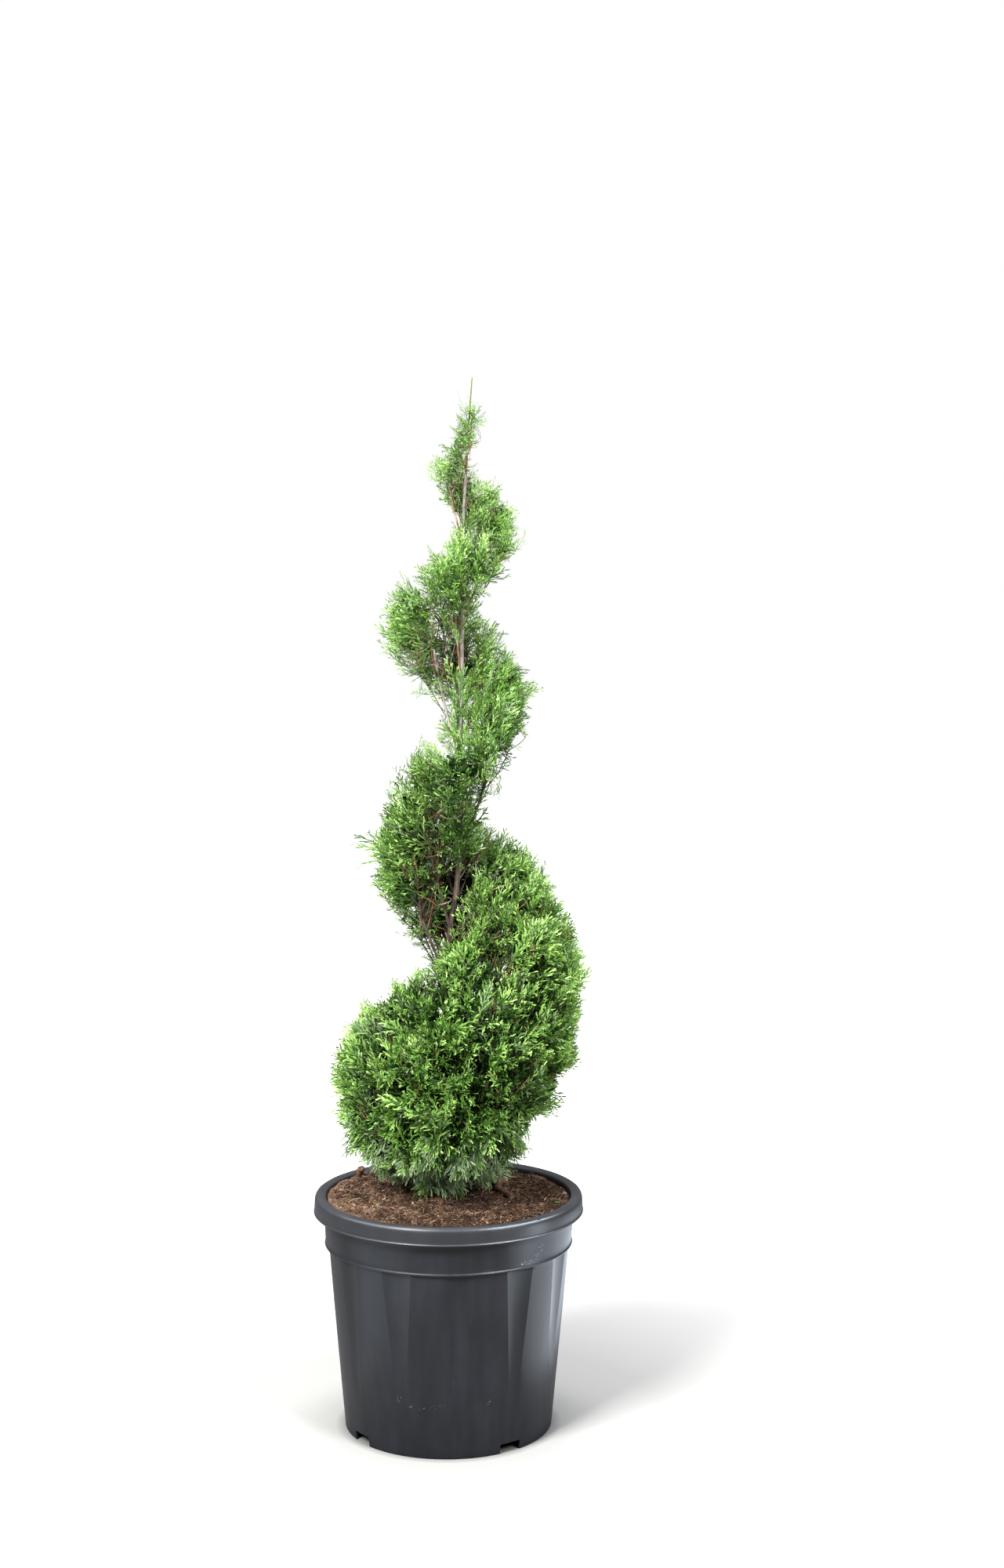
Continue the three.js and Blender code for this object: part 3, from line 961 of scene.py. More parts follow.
@dataclass
class Compost:
    """The compost: a lumpy mound, with loose crumbs, root fibres, wood chips and fallen bits.

    wall is the radius and height of the bed against the pot. A row of relief is how fine an
    unevenness is, two numbers that pick its pattern and how high it is. lit_side_from is the x
    left of which the loose bits turn paler, as painted light from the left, and lit_side_over how
    much further left they are palest.
    """

    edge_height: float = 0.2992
    mound_height: float = 0.3012
    tilt: float = 0.0135
    edge_radius: float = 0.1608
    flat_radius: float = 0.034
    wall: tuple[tuple[float, float], ...] = (
        (0.1262, 0.0175), (0.1375, 0.1), (0.1475, 0.19), (0.1515, 0.235), (0.158, 0.246),
        (0.1602, 0.262))
    relief: tuple[tuple[float, float, float, float], ...] = (
        (16, 3, 1.0, 0.0042), (55, 0, 4.0, 0.0034), (170, 0, 9.0, 0.0019))
    rings: int = 46
    segments: int = 176
    rim: tuple[float, float] = (0.1665, 0.1765)
    rim_height: float = 0.3034
    rim_share: float = 0.0022
    crumbs: int = 6000
    fibres: int = 9000
    rootlets: int = 420
    chips: int = 90
    bits: int = 36
    lit_side_from: float = -0.015
    lit_side_over: float = 0.15
    root_steps: int = 15
    rng: Rng = field(default_factory=lambda: np.random.default_rng(11))

    def height(self, x: float, y: float) -> float:
        """Works out the surface: a mound that tilts, with lumps, clods and grit.

        Args:
            x: the place's x.
            y: the place's y.

        Returns:
            The height there.
        """
        radius = math.hypot(x, y)
        rise = float(ease(self.edge_radius - radius, 0.0, self.edge_radius - self.flat_radius))
        base = self.edge_height + (self.mound_height - self.edge_height) * rise - self.tilt * x
        relief = sum(noise.noise(Vector((x * fine + shift, y * fine, layer))) * height
                     for fine, shift, layer, height in self.relief)
        calm = float(ease(radius, self.flat_radius * 0.6, self.flat_radius * 1.3))
        edge = 1.0 - 0.45 * float(ease(radius, self.edge_radius - 0.008, self.edge_radius))
        return base + relief * calm * edge

    def heights(self, x: Array, y: Array) -> Array:
        """Heights of the surface at many places."""
        return np.vectorize(self.height, otypes=[float])(x, y)

    def bed(self) -> Piece:
        """Draws the bed, from the pot's floor up its wall and in to the middle of the top.

        Returns:
            The piece, still without its material.
        """
        inward = [self.edge_radius * (1 - i / self.rings) for i in range(self.rings)]
        outline = [*self.wall, *((radius, self.edge_height) for radius in inward)]
        piece = drawn_body(self.segments, np.array([(0, 0, z, radius) for radius, z in outline]))
        for vertex in piece.data.vertices:
            if vertex.co.z > self.wall[-1][1] + 0.001:
                vertex.co.z = self.height(vertex.co.x, vertex.co.y)
        bpy.ops.object.shade_smooth()
        return settle(piece, "compost_bed")

    def scatter(self, count: int, margin: float) -> Array:
        """Places on the surface.

        Args:
            count: how many places.
            margin: how far they stay from the wall.

        Returns:
            The places, a row each.
        """
        radius = (self.edge_radius - margin) * np.sqrt(self.rng.uniform(0.012, 1.0, count))
        angle = self.rng.uniform(0, 2 * math.pi, count)
        x, y = radius * np.cos(angle), radius * np.sin(angle)
        return np.stack([x, y, self.heights(x, y)], axis=1)

    def pick(self, places: Array, painted_shade_side: Sequence[float], painted_lit_side: Sequence[float]) -> Array:
        """Colours for loose bits: paler towards the left, as painted light from that side, and
        darker in front under the skirt, as its painted shadow.

        Args:
            places: where the bits lie.
            painted_shade_side: shares of the colours on the side in painted shade.
            painted_lit_side: shares on the side in painted light.

        Returns:
            A slot of Crumb for each bit.
        """
        patches = 1.6 * drift(places, 0.022, 5.0)[:, 0] - 0.1
        # Painted shadow: the bits are darker at the front, under the overhanging skirt.
        patches = patches - 0.35 * ease(-places[:, 1], 0.09, 0.13) * ease(places[:, 0], -0.1, 0.0)
        # Painted light: the share of the paler colours grows towards the left, where the key light
        # falls.
        side = np.clip((self.lit_side_from - places[:, 0]) / self.lit_side_over + patches, 0, 1)
        share = side[:, None] * np.array(painted_lit_side) + (1 - side[:, None]) * np.array(painted_shade_side)
        draw = self.rng.uniform(0, 1, (len(places), 1))
        return np.minimum((draw > np.cumsum(share, axis=1)).sum(axis=1), len(painted_shade_side) - 1)

    def crumb_piece(self) -> Piece:
        """Scatters uneven little lumps, half sunk into the surface, and a few on the rim.

        Returns:
            The piece.
        """
        n = self.crumbs
        size = 0.0005 + 0.003 * self.rng.beta(1.0, 6.0, n)
        places = self.scatter(n, 0.003)
        places[:, 2] += size * self.rng.uniform(-0.3, 0.35, n)
        rim = (self.rng.uniform(0, 1, n) < self.rim_share) & (size < 0.001)
        angle, radius = self.rng.uniform(0, 2 * math.pi, n), self.rng.uniform(*self.rim, n)
        on_rim = np.stack([radius * np.cos(angle), radius * np.sin(angle),
                           np.full(n, self.rim_height)], axis=1)
        places = np.where(rim[:, None], on_rim, places)
        points, faces = lumps(self.rng, places, size, 1.0)
        colour = self.pick(places, (0.54, 0.32, 0.12, 0.018, 0.002),
                           (0.15, 0.26, 0.33, 0.22, 0.04))
        return mesh_piece("compost_crumbs", points, [faces], np.repeat(colour, len(LUMP_FACES)),
                          material_row(Crumb))

    def fibre_piece(self, name: str, count: int, steps: int,
                    lengths: tuple[float, float], curl: float, girth: tuple[float, float]
                    ) -> Piece:
        """Fibres lying on the surface, some of them tilted up out of it.

        Args:
            name: the piece's name.
            count: how many fibres.
            steps: points along each.
            lengths: shortest length, and how much longer the longest is.
            curl: how much they bend.
            girth: thinnest and thickest radius.

        Returns:
            The piece.
        """
        centre = self.scatter(count, 0.012)
        length = lengths[0] + lengths[1] * self.rng.beta(1.3, 3.0, count)
        share = np.linspace(-0.5, 0.5, steps)
        angle = (self.rng.uniform(0, 2 * math.pi, count)[:, None]
                 + self.rng.normal(0, curl, count)[:, None] * share)
        step = (length / (steps - 1))[:, None]
        x, y = np.cumsum(np.cos(angle) * step, axis=1), np.cumsum(np.sin(angle) * step, axis=1)
        x += centre[:, :1] - x.mean(axis=1, keepdims=True)
        y += centre[:, 1:2] - y.mean(axis=1, keepdims=True)
        limit = np.minimum(1.0, (self.edge_radius - 0.0015) / np.hypot(x, y))
        x, y = x * limit, y * limit
        z = self.heights(x, y)
        arch = self.rng.uniform(-0.1, 0.3, (count, 1)) * length[:, None] * (1 - (2 * share) ** 2)
        tilt = np.abs(self.rng.normal(0, 0.28, (count, 1))) * length[:, None] * (share + 0.5)
        paths = np.stack([x, y, z + 0.0003 + np.maximum(arch, 0) + tilt], axis=-1)
        thick = self.rng.uniform(*girth, count)
        radii = thick[:, None] * np.interp(share, (-0.5, -0.2, 0.2, 0.5), (0.5, 1.0, 1.0, 0.4))
        points, walls, caps = tubes(paths, radii, 3)
        colour = self.pick(centre, (0.3, 0.34, 0.25, 0.1, 0.01),
                           (0.05, 0.16, 0.36, 0.37, 0.06))
        finishes = np.concatenate([np.repeat(colour, (steps - 1) * 3), np.tile(colour, 2)])
        return mesh_piece(name, points, [walls, caps], finishes, material_row(Crumb))

    def chip_piece(self) -> Piece:
        """Scatters flat wood chips and slivers, and green bits fallen from the shears.

        Returns:
            The piece.
        """
        n = self.chips + self.bits
        green = np.arange(n) >= self.chips
        half = np.stack([self.rng.uniform(0.0012, 0.0052, n), self.rng.uniform(0.0005, 0.0014, n),
                         self.rng.uniform(0.0002, 0.0006, n)], axis=1)
        half[green] *= (0.75, 1.1, 0.5)
        centre = self.scatter(n, 0.01)
        centre[:, 2] += half[:, 2] + self.rng.uniform(0, 0.0012, n)
        yaw, tilt = self.rng.uniform(0, 2 * math.pi, n), self.rng.normal(0, 0.22, n)
        ahead = direction(yaw, tilt)
        aside = unit(np.cross(UP, ahead))
        points, faces = set_out(CHIP_CORNERS * half[:, None], CHIP_FACES, centre,
                                (ahead, aside, np.cross(ahead, aside)))
        woody = self.rng.choice([Crumb.BROWN.slot, Crumb.TAN.slot, Crumb.CREAM.slot], n,
                           p=(0.3, 0.4, 0.3))
        colour = np.where(green, Crumb.GREEN.slot, woody)
        return mesh_piece("compost_chips", points, [faces], np.repeat(colour, len(CHIP_FACES)),
                          material_row(Crumb))

    def root_piece(self) -> Piece:
        """Lays old roots that break the surface, each with thin curled rootlets, and a dead stub.

        Returns:
            The piece.
        """
        paths, radii = [], []
        share = np.linspace(0, 1, self.root_steps)
        for root in ROOTS:
            line = root.path(share)
            line[:, 2] += self.heights(*line[:, :2].T)
            line[:, :2] += drift(line, 0.014, 3.0)[:, :2] * 0.005
            paths.append(line)
            knobs = 1 + 0.7 * drift(line, 0.006, 8.0)[:, 0]
            radii.append((root.girth[0] + (root.girth[1] - root.girth[0]) * share) * knobs)
            for _ in range(root.rootlets):
                first = line[self.rng.integers(3, self.root_steps - 2)]
                angle = self.rng.uniform(0, 2 * math.pi)
                angle = angle + np.cumsum(self.rng.normal(0, 0.45, self.root_steps))
                step = self.rng.uniform(0.0012, 0.0021)
                x = first[0] + np.cumsum(np.cos(angle) * step)
                y = first[1] + np.cumsum(np.sin(angle) * step)
                arch = 0.004 * np.sin(share * math.pi) * self.rng.uniform()
                paths.append(np.stack([x, y, self.heights(x, y) + 0.0006 + arch], axis=1))
                radii.append(np.linspace(0.0007, 0.0003, self.root_steps))
        points, walls, caps = tubes(np.array(paths), np.array(radii), 9)
        return mesh_piece("compost_roots", points, [walls, caps],
                          np.zeros(len(walls) + len(caps), int), [made(ROOT_BARK)])

    def build(self) -> list[Piece]:
        """Builds the bed and all that lies on it.

        Returns:
            The finished pieces.
        """
        bed = self.bed()
        bed.data.materials.append(CompostFinish().make())
        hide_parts("soil")
        loose = [self.crumb_piece(), self.chip_piece(),
                 self.fibre_piece("compost_fibres", self.fibres, 4, (0.0025, 0.009), 1.1,
                                  (0.00018, 0.0004)),
                 self.fibre_piece("compost_rootlets", self.rootlets, 9, (0.012, 0.022), 2.6,
                                  (0.00018, 0.0003))]
        loose.append(self.root_piece())
        for piece in [bed, *loose]:
            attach(piece, BODY)
        return [bed, *loose]


# ---- Stem and boughs ----


class StemLine:
    """The stem's centre line and girth, read from the CAD trunk.

    The trunk's rings lie more than RING_GAP apart and have FEWEST_SIDES sides or more. SLIMMING
    makes the drawn stem thinner than the CAD one: heights, and the factor at each.
    """

    RING_GAP = 0.006
    FEWEST_SIDES = 6
    SLIMMING = ((0.4, 0.6, 0.9), (1.0, 0.8, 0.9))

    def __init__(self) -> None:
        """Gathers the trunk's rings of vertices by their height."""
        points = np.unique(node_triangles("trunk").reshape(-1, 3).round(6), axis=0)
        points = points[np.argsort(points[:, 2])]
        breaks = np.nonzero(np.diff(points[:, 2]) > self.RING_GAP)[0] + 1
        rings = [r for r in np.split(points, breaks) if len(r) >= self.FEWEST_SIDES]
        self.centres = np.array([(r.min(axis=0) + r.max(axis=0)) / 2 for r in rings])
        self.centres[0, 2], self.centres[-1, 2] = points[0, 2], points[-1, 2]
        radii = np.array([np.ptp(r[:, :2], axis=0).max() / 2 for r in rings])
        self.radii = radii * np.interp(self.centres[:, 2], *self.SLIMMING)

    def at(self, height: Array | float) -> Array:
        """Points of the centre line at heights."""
        z = np.asarray(height, float)
        z0 = self.centres[:, 2]
        return np.stack([np.interp(z, z0, self.centres[:, 0]),
                         np.interp(z, z0, self.centres[:, 1]), z], axis=-1)

    def girth(self, height: Array | float) -> Array:
        """Radii of the stem at heights."""
        return np.interp(height, self.centres[:, 2], self.radii)


@dataclass
class Trunk:
    """The stem from its flare on the compost to the tip, with fibrous ridged bark."""

    line: StemLine
    # The lowest bark, below the first of bark_tops, is near-black as painted shade in the groove.
    barks: tuple[BarkFinish | PlainFinish, ...] = (
        SHADE_PAINTED_BARK, OLD_BARK, YOUNG_BARK, Wood.GREEN.value)
    bark_tops: tuple[float, ...] = (0.85, 1.262, 1.325)
    sides: int = 22
    step: float = 0.0085
    ridge: float = 0.085
    flare: tuple[float, float] = (0.296, 0.34)
    flare_ribs: int = 5
    rib: float = 0.16

    def relief(self, piece: Piece) -> None:
        """Raises the bark's strips, knots and the flare's ribs.

        Args:
            piece: the drawn stem.
        """
        for vertex in piece.data.vertices:
            z = vertex.co.z
            centre = Vector(self.line.at(z))
            out = vertex.co - centre
            out.z = 0.0
            radius = out.length
            if radius < 1e-5:
                continue
            out /= radius
            strips = noise.noise(Vector((out.x * 2.6, out.y * 2.6, z * 9.0)))
            fine = noise.noise(Vector((out.x * 7.0, out.y * 7.0, z * 24.0 + 7)))
            knots = max(0.0, noise.noise(Vector((out.x, out.y, z * 42.0 + 3))) - 0.25)
            ribs = math.cos(self.flare_ribs * math.atan2(out.y, out.x)) * self.rib
            ribs *= float(1 - ease(z, *self.flare))
            vertex.co += out * radius * (self.ridge * (strips + 0.6 * fine) + 0.3 * knots + ribs)

    def build(self) -> Piece:
        """Draws the stem ring by ring, then raises its bark.

        Returns:
            The finished piece.
        """
        low, high = self.line.centres[0, 2], self.line.centres[-1, 2]
        heights = np.linspace(low, high, int((high - low) / self.step) + 1)
        rings = np.column_stack([self.line.at(heights), self.line.girth(heights)])
        piece = drawn_body(self.sides, rings)
        self.relief(piece)
        bpy.ops.object.shade_smooth_by_angle(angle=math.radians(50))
        settle(piece, "stem_bark")
        for bark in self.barks:
            piece.data.materials.append(made(bark))
        for face in piece.data.polygons:
            face.material_index = sum(face.center.z > top for top in self.bark_tops)
        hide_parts("trunk")
        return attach(piece, BODY)


@dataclass(frozen=True)
class Bough:
    """One tapering limb that crosses the open groove and ends inside the coil above.

    root is its height on the stem, side its direction in degrees from +X, reach and rise the
    place of its far end from there, girth its radius at the stem and at the far end, and bark its
    finish. It is drawn in STEPS points, SLIMMING times as thick as its CAD solid, and its COLLAR
    at the stem is that much thicker over that share of its length.
    """

    STEPS = 15
    SLIMMING = 0.8
    COLLAR = (0.5, 0.2)

    node: str
    root: float
    side: float
    reach: float
    rise: float
    girth: tuple[float, float]
    # Near-black by default, as painted shade where the boughs cross the groove.
    bark: BarkFinish = SHADE_PAINTED_BARK

    def path(self, line: StemLine, share: Array) -> Array:
        """Lists points along the limb, which leaves the stem slanting and bends upwards.

        Args:
            line: the stem that it grows from.
            share: where along it, from 0 to 1.

        Returns:
            The points.
        """
        start = line.at(self.root)
        out = direction(math.radians(self.side), 0.0)
        bend = start + out * self.reach * 0.6 + UP * self.rise * 0.4
        end = start + out * self.reach + UP * self.rise
        return bent(start, bend, end, np.asarray(share, float)[..., None])

    def build(self, line: StemLine) -> Piece:
        """Models the limb round a drawn curve, thicker at its collar, with ridged bark.

        Args:
            line: the stem that it grows from.

        Returns:
            The finished piece.
        """
        share = np.linspace(0, 1, self.STEPS)
        places = self.path(line, share)
        thicker, over = self.COLLAR
        deselect_all()
        bpy.ops.curve.primitive_nurbs_path_add(location=(0, 0, 0))
        piece = bpy.context.object
        curve = piece.data
        curve.splines.clear()
        spline = curve.splines.new("POLY")
        spline.points.add(len(places) - 1)
        for point, place, t in zip(spline.points, places, share):
            girth = self.SLIMMING * (self.girth[0] + (self.girth[1] - self.girth[0]) * t)
            point.co = (*place, 1.0)
            point.radius = girth * (1 + thicker * max(0.0, 1 - t / over) ** 2)
        curve.bevel_depth = 1.0
        curve.bevel_resolution = 3
        curve.use_fill_caps = True
        bpy.ops.object.convert(target="MESH")
        piece = bpy.context.object
        apply_modifier(piece, "SUBSURF", levels=1, render_levels=1, subdivision_type="SIMPLE")
        for vertex in piece.data.vertices:
            ridge = noise.noise(Vector((vertex.co.x * 420, vertex.co.y * 420, vertex.co.z * 60)))
            vertex.co += vertex.normal * 0.00035 * ridge
        bpy.ops.object.shade_smooth_by_angle(angle=math.radians(50))
        settle(piece, self.node.replace("bough", "limb"))
        piece.data.materials.append(made(self.bark))
        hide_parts(self.node)
        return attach(piece, BODY)


BOUGHS = (
    Bough("bough_back_1", 0.5, 78, 0.046, 0.096, (0.0034, 0.0022)),
    Bough("bough_left_1", 0.592, 192, 0.04, 0.096, (0.003, 0.0019)),
    Bough("bough_right_1", 0.604, 338, 0.044, 0.122, (0.003, 0.0018)),
    Bough("bough_front_1", 0.655, 226, 0.04, 0.118, (0.0028, 0.0018)),
    Bough("bough_right_2", 0.762, 336, 0.042, 0.108, (0.0027, 0.0017)),
    Bough("bough_back_2", 0.842, 96, 0.036, 0.096, (0.0026, 0.0016)),
    Bough("bough_left_2", 0.884, 184, 0.036, 0.142, (0.0027, 0.0019), OLD_BARK),
    Bough("bough_front_2", 0.984, 256, 0.03, 0.084, (0.0022, 0.0014), YOUNG_BARK),
    Bough("bough_right_3", 1.072, 8, 0.028, 0.066, (0.0021, 0.0013), YOUNG_BARK),
    Bough("bough_back_3", 1.132, 84, 0.022, 0.068, (0.0019, 0.0012), YOUNG_BARK),
    Bough("bough_left_3", 1.172, 176, 0.018, 0.07, (0.0018, 0.0011), YOUNG_BARK),
)


# ---- Sprays of leaves ----


class Part(Enum):
    """The parts of a spray that may have colours of their own."""

    RIB = 0
    INNER = 1
    BODY = 2
    TIP = 3


@dataclass(frozen=True)
class SprayHabit:
    """How one kind of flat spray branches. Lengths are in metres and angles in degrees.

    shoots are the side shoots, left and right in turn, lean their angle to the rib, reach the
    longest one's share of the spray's length, fullest where along the rib it grows. stub is the
    length of the last small shoots and stub_gap their spacing, blade the width of all of them,
    arch the bow out of the spray's plane, and loose how far the shoots are turned out of it.
    """

    length: float
    shoots: int
    lean: float
    reach: float
    fullest: float
    stub: float
    stub_gap: float
    blade: float
    arch: float
    loose: float


@dataclass
class Spray:
    """One grown spray: it starts at the origin, runs along +X and lies about flat in XY."""

    habit: SprayHabit
    rng: Rng
    points: list[Array] = field(default_factory=list)
    faces: list[tuple[int, int, int]] = field(default_factory=list)
    parts: list[int] = field(default_factory=list)

    def run(self, start: Array, heading: float, pitch: float, length: float, turn: float,
            dip: float, steps: int) -> tuple[Array, Array]:
        """A bending line.

        Args:
            start: where it begins.
            heading: its angle in the plane at the start.
            pitch: its angle out of the plane at the start.
            length: how long it is.
            turn: how far its heading changes along it.
            dip: how far its pitch changes along it.
            steps: how many straight lengths it has.

        Returns:
            Its points and the heading at each.
        """
        share = np.arange(steps + 1) / steps
        way = heading + turn * share
        step = direction(way, pitch + dip * share)
        line = start + np.concatenate([[np.zeros(3)], np.cumsum(step[:-1], 0)]) * length / steps
        return line, way

    @staticmethod
    def along(line: Array, way: Array, share: float) -> tuple[Array, float]:
        """The point and the heading at a share of a line's length."""
        steps = np.arange(len(way))
        at = share * steps[-1]
        return (np.array([np.interp(at, steps, row) for row in line.T]),
                float(np.interp(at, steps, way)))

    def strip(self, line: Array, way: Array, width: Array, roll: float,
              parts: Sequence[Part]) -> None:
        """A blade along a line that ends in a point.

        Args:
            line: its points.
            way: the heading at each.
            width: the width at each, but for the last.
            roll: how far it is turned about its own line.
            parts: the part that each length belongs to.
        """
        first = sum(len(p) for p in self.points)
        aside = np.stack([-np.sin(way) * math.cos(roll), np.cos(way) * math.cos(roll),
                          np.full(len(way), math.sin(roll))], 1)[:-1]
        offset = aside * width[:, None] / 2
        self.points.append(np.stack([line[:-1] - offset, line[:-1] + offset], 1).reshape(-1, 3))
        self.points.append(line[-1:])
        last = len(line) - 2
        for i in range(last):
            a = first + 2 * i
            self.faces += [(a, a + 2, a + 3), (a, a + 3, a + 1)]
            self.parts += [parts[i].value] * 2
        a = first + 2 * last
        self.faces.append((a, a + 2, a + 1))
        self.parts.append(parts[last].value)

    def finger(self, start: Array, heading: float, pitch: float, length: float, width: float,
               roll: float, bend: float, fork: float) -> None:
        """A last small shoot: a slender blade with a blunt tip, bent a little towards the rib.

        Args:
            start: its foot.
            heading: its angle in the plane.
            pitch: its angle out of the plane.
            length: how long it is.
            width: how wide it is past its foot.
            roll: how far it is turned about its own line.
            bend: how far its outer part turns in the plane.
            fork: the angle of a second tip, or 0 for none.
        """
        first = sum(len(p) for p in self.points)
        aside = np.array([-math.sin(heading) * math.cos(roll),
                          math.cos(heading) * math.cos(roll), math.sin(roll)]) * width / 2
        belly = start + direction(heading, pitch) * length * 0.36
        tip = belly + direction(heading + bend, pitch) * length * 0.64
        self.points.append(np.array([start, belly - aside, belly + aside,
                                     tip - aside * 0.62, tip + aside * 0.62]))
        corners = [(0, 1, 2), (1, 3, 4), (1, 4, 2)]
        if fork:
            out = direction(heading + fork, pitch) * length * 0.42
            self.points.append(np.array([belly - aside * 0.7, belly + aside * 0.7,
                                         belly + out - aside * 0.6, belly + out + aside * 0.6]))
            corners += [(5, 7, 8), (5, 8, 6)]
        self.faces += [(first + a, first + b, first + c) for a, b, c in corners]
        self.parts += [Part.BODY.value] + [Part.TIP.value] * (len(corners) - 1)

    def grow(self) -> tuple[Array, Array, Array]:
        """Grows the spray by its habit.

        Returns:
            Its points, its faces and the part of each face.
        """
        habit, rng = self.habit, self.rng
        arch = math.atan(habit.arch * 4)
        width = habit.blade * np.array([0.62, 0.66, 0.7, 0.75, 0.8, 0.85, 0.9])
        steps = len(width)
        rib, way = self.run(np.zeros(3), rng.normal(0, 0.05), arch / 2, habit.length,
                            rng.normal(0, 0.25), -arch, steps)
        self.strip(rib, way, width, 0.0,
                   [Part.RIB] * 3 + [Part.INNER] * 2 + [Part.BODY, Part.TIP])
        side = rng.choice((-1, 1))
        for i in range(habit.shoots):
            place = 0.1 + 0.84 * (i + rng.uniform(-0.25, 0.25)) / (habit.shoots - 1)
            place = min(max(place, 0.06), 0.95)
            start, heading = self.along(rib, way, place)
            side = -side
            rise = min(place / habit.fullest, 1.0) ** 0.6
            fall = (1 - max(0.0, place - habit.fullest) / (1 - habit.fullest)) ** 0.75
            length = habit.length * habit.reach * (rise * fall * 0.88 + 0.12)
            length *= rng.uniform(0.72, 1.12)
            self.side_shoot(start, heading, side, length, arch, place)
        return np.concatenate(self.points), np.array(self.faces), np.array(self.parts)

    def side_shoot(self, start: Array, heading: float, side: int, length: float, arch: float,
                   place: float) -> None:
        """Grows one side shoot with its last small shoots, left and right in turn.

        Args:
            start: where on the rib it starts.
            heading: the rib's heading there.
            side: 1 for left and -1 for right.
            length: how long it is.
            arch: the bow of the spray, which it follows.
            place: where along the rib it starts, from 0 to 1.
        """
        habit, rng, loose = self.habit, self.rng, math.radians(self.habit.loose)
        lean = math.radians(habit.lean) * rng.uniform(0.82, 1.2)
        pitch = arch * (0.5 - place) + rng.normal(0, loose * 0.7)
        turn = -side * lean * rng.uniform(0.35, 0.85)
        line, way = self.run(start, heading + side * lean, pitch, length, turn,
                             -arch * 0.5, 3)
        line[2] += (line[3] - line[2]) * 0.45
        roll = rng.normal(0, loose)
        width = habit.blade * np.array([0.75, 1.0, 0.95])
        inner = Part.INNER if place < 0.6 else Part.BODY
        self.strip(line, way, width, roll, [inner, Part.BODY, Part.TIP])
        count = int((length - habit.stub_gap * 0.9) / habit.stub_gap)
        flip = side
        for j in range(count):
            share = (habit.stub_gap * (j + 0.9)) / length
            if share > 0.88:
                break
            foot, along = self.along(line, way, share)
            flip = -flip
            size = habit.stub * rng.uniform(0.6, 1.25) * (1.15 - 0.4 * share)
            size = min(size, 0.75 * length)
            fork = math.radians(habit.lean * 0.8) * rng.uniform(0.7, 1.15)
            self.finger(foot, along + flip * fork, pitch + rng.normal(0, loose * 0.9), size,
                        habit.blade * rng.uniform(0.85, 1.15), rng.normal(0, loose * 2.2),
                        -flip * fork * rng.uniform(0.3, 1.0),
                        flip * rng.uniform(0.35, 0.7) if rng.uniform() < 0.4 else 0.0)


class Habit(Enum):
    """The kinds of spray on the plant."""

    FULL = SprayHabit(0.044, 8, 37, 0.48, 0.35, 0.0098, 0.0056, 0.00175, 0.14, 16)
    LONG = SprayHabit(0.06, 9, 32, 0.42, 0.35, 0.0105, 0.0062, 0.0017, 0.16, 15)
    LACY = SprayHabit(0.06, 9, 31, 0.4, 0.3, 0.0098, 0.0068, 0.0015, 0.14, 15)
    SKIRT = SprayHabit(0.062, 9, 23, 0.42, 0.35, 0.0165, 0.0066, 0.00135, 0.2, 16)
    COMBED = SprayHabit(0.072, 9, 19, 0.36, 0.4, 0.0095, 0.0062, 0.00115, 0.12, 12)
    LEADER = SprayHabit(0.06, 7, 22, 0.13, 0.3, 0.006, 0.006, 0.0016, 0.03, 10)
    INNER = SprayHabit(0.06, 7, 42, 0.5, 0.35, 0.0, 0.2, 0.0052, 0.08, 20)

    @property
    def first(self) -> int:
        """The number of its first grown spray."""
        return list(Habit).index(self) * SPRAYS_PER_HABIT


SPRAYS_PER_HABIT = 6
SPRAY_SEED = 404
LOWEST_TIP = 0.2995
SPRAY_LENGTHS = np.array([h.value.length for h in Habit])


def grow_sprays() -> list[tuple[Array, Array, Array]]:
    """All the grown sprays, a few of each kind."""
    rng = np.random.default_rng(SPRAY_SEED)
    return [Spray(h.value, rng).grow() for h in Habit for _ in range(SPRAYS_PER_HABIT)]


# The greens of a spray's rib, inner, middle and outer shoots: darker towards the rib and lighter
# at the tips, partly old inner and fresh outer growth and partly painted shade inside the spray
# and painted light on its tips.
PALETTES = tuple(tuple(Leaf[name] for name in row.split()) for row in (
    "DEEP DEEP FRESH BRIGHT",
    "WOODY DARK MID BRIGHT",
    "DARK DEEP MID FRESH",
    "WOODY DARK DEEP FRESH",
    "DARK DEEP DEEP MID",
    "DARK DARK DEEP MID",
    "DARK DARK DARK DEEP",
    "DARK DARK DARK DARK",
    "DEEP GREY GREY SILVER",
    "DARK DEEP GREY SILVER",
    "BROWN BROWN BROWN BROWN",
    "DEEP MID MID BRIGHT",
    "WOODY DEEP MID FRESH",
    "DEEP MID MID FRESH",
    "DEEP DEEP MID MID",
    "DEEP DEEP DEEP MID",
    "FRESH FRESH PALE PALE",
))
# Rows of PALETTES: how many are for full coils, the deepest of these, and where the grey, dead,
# open and leading ones start.
GREEN_PALETTES = 8
DEEPEST_PALETTES = (6, 7, 7)
GREY_PALETTE = 8
DEAD_PALETTE = 10
OPEN_PALETTE = 11
OPEN_PALETTES = 5
DEEPEST_OPEN_PALETTE = 15
LEADER_PALETTE = 16


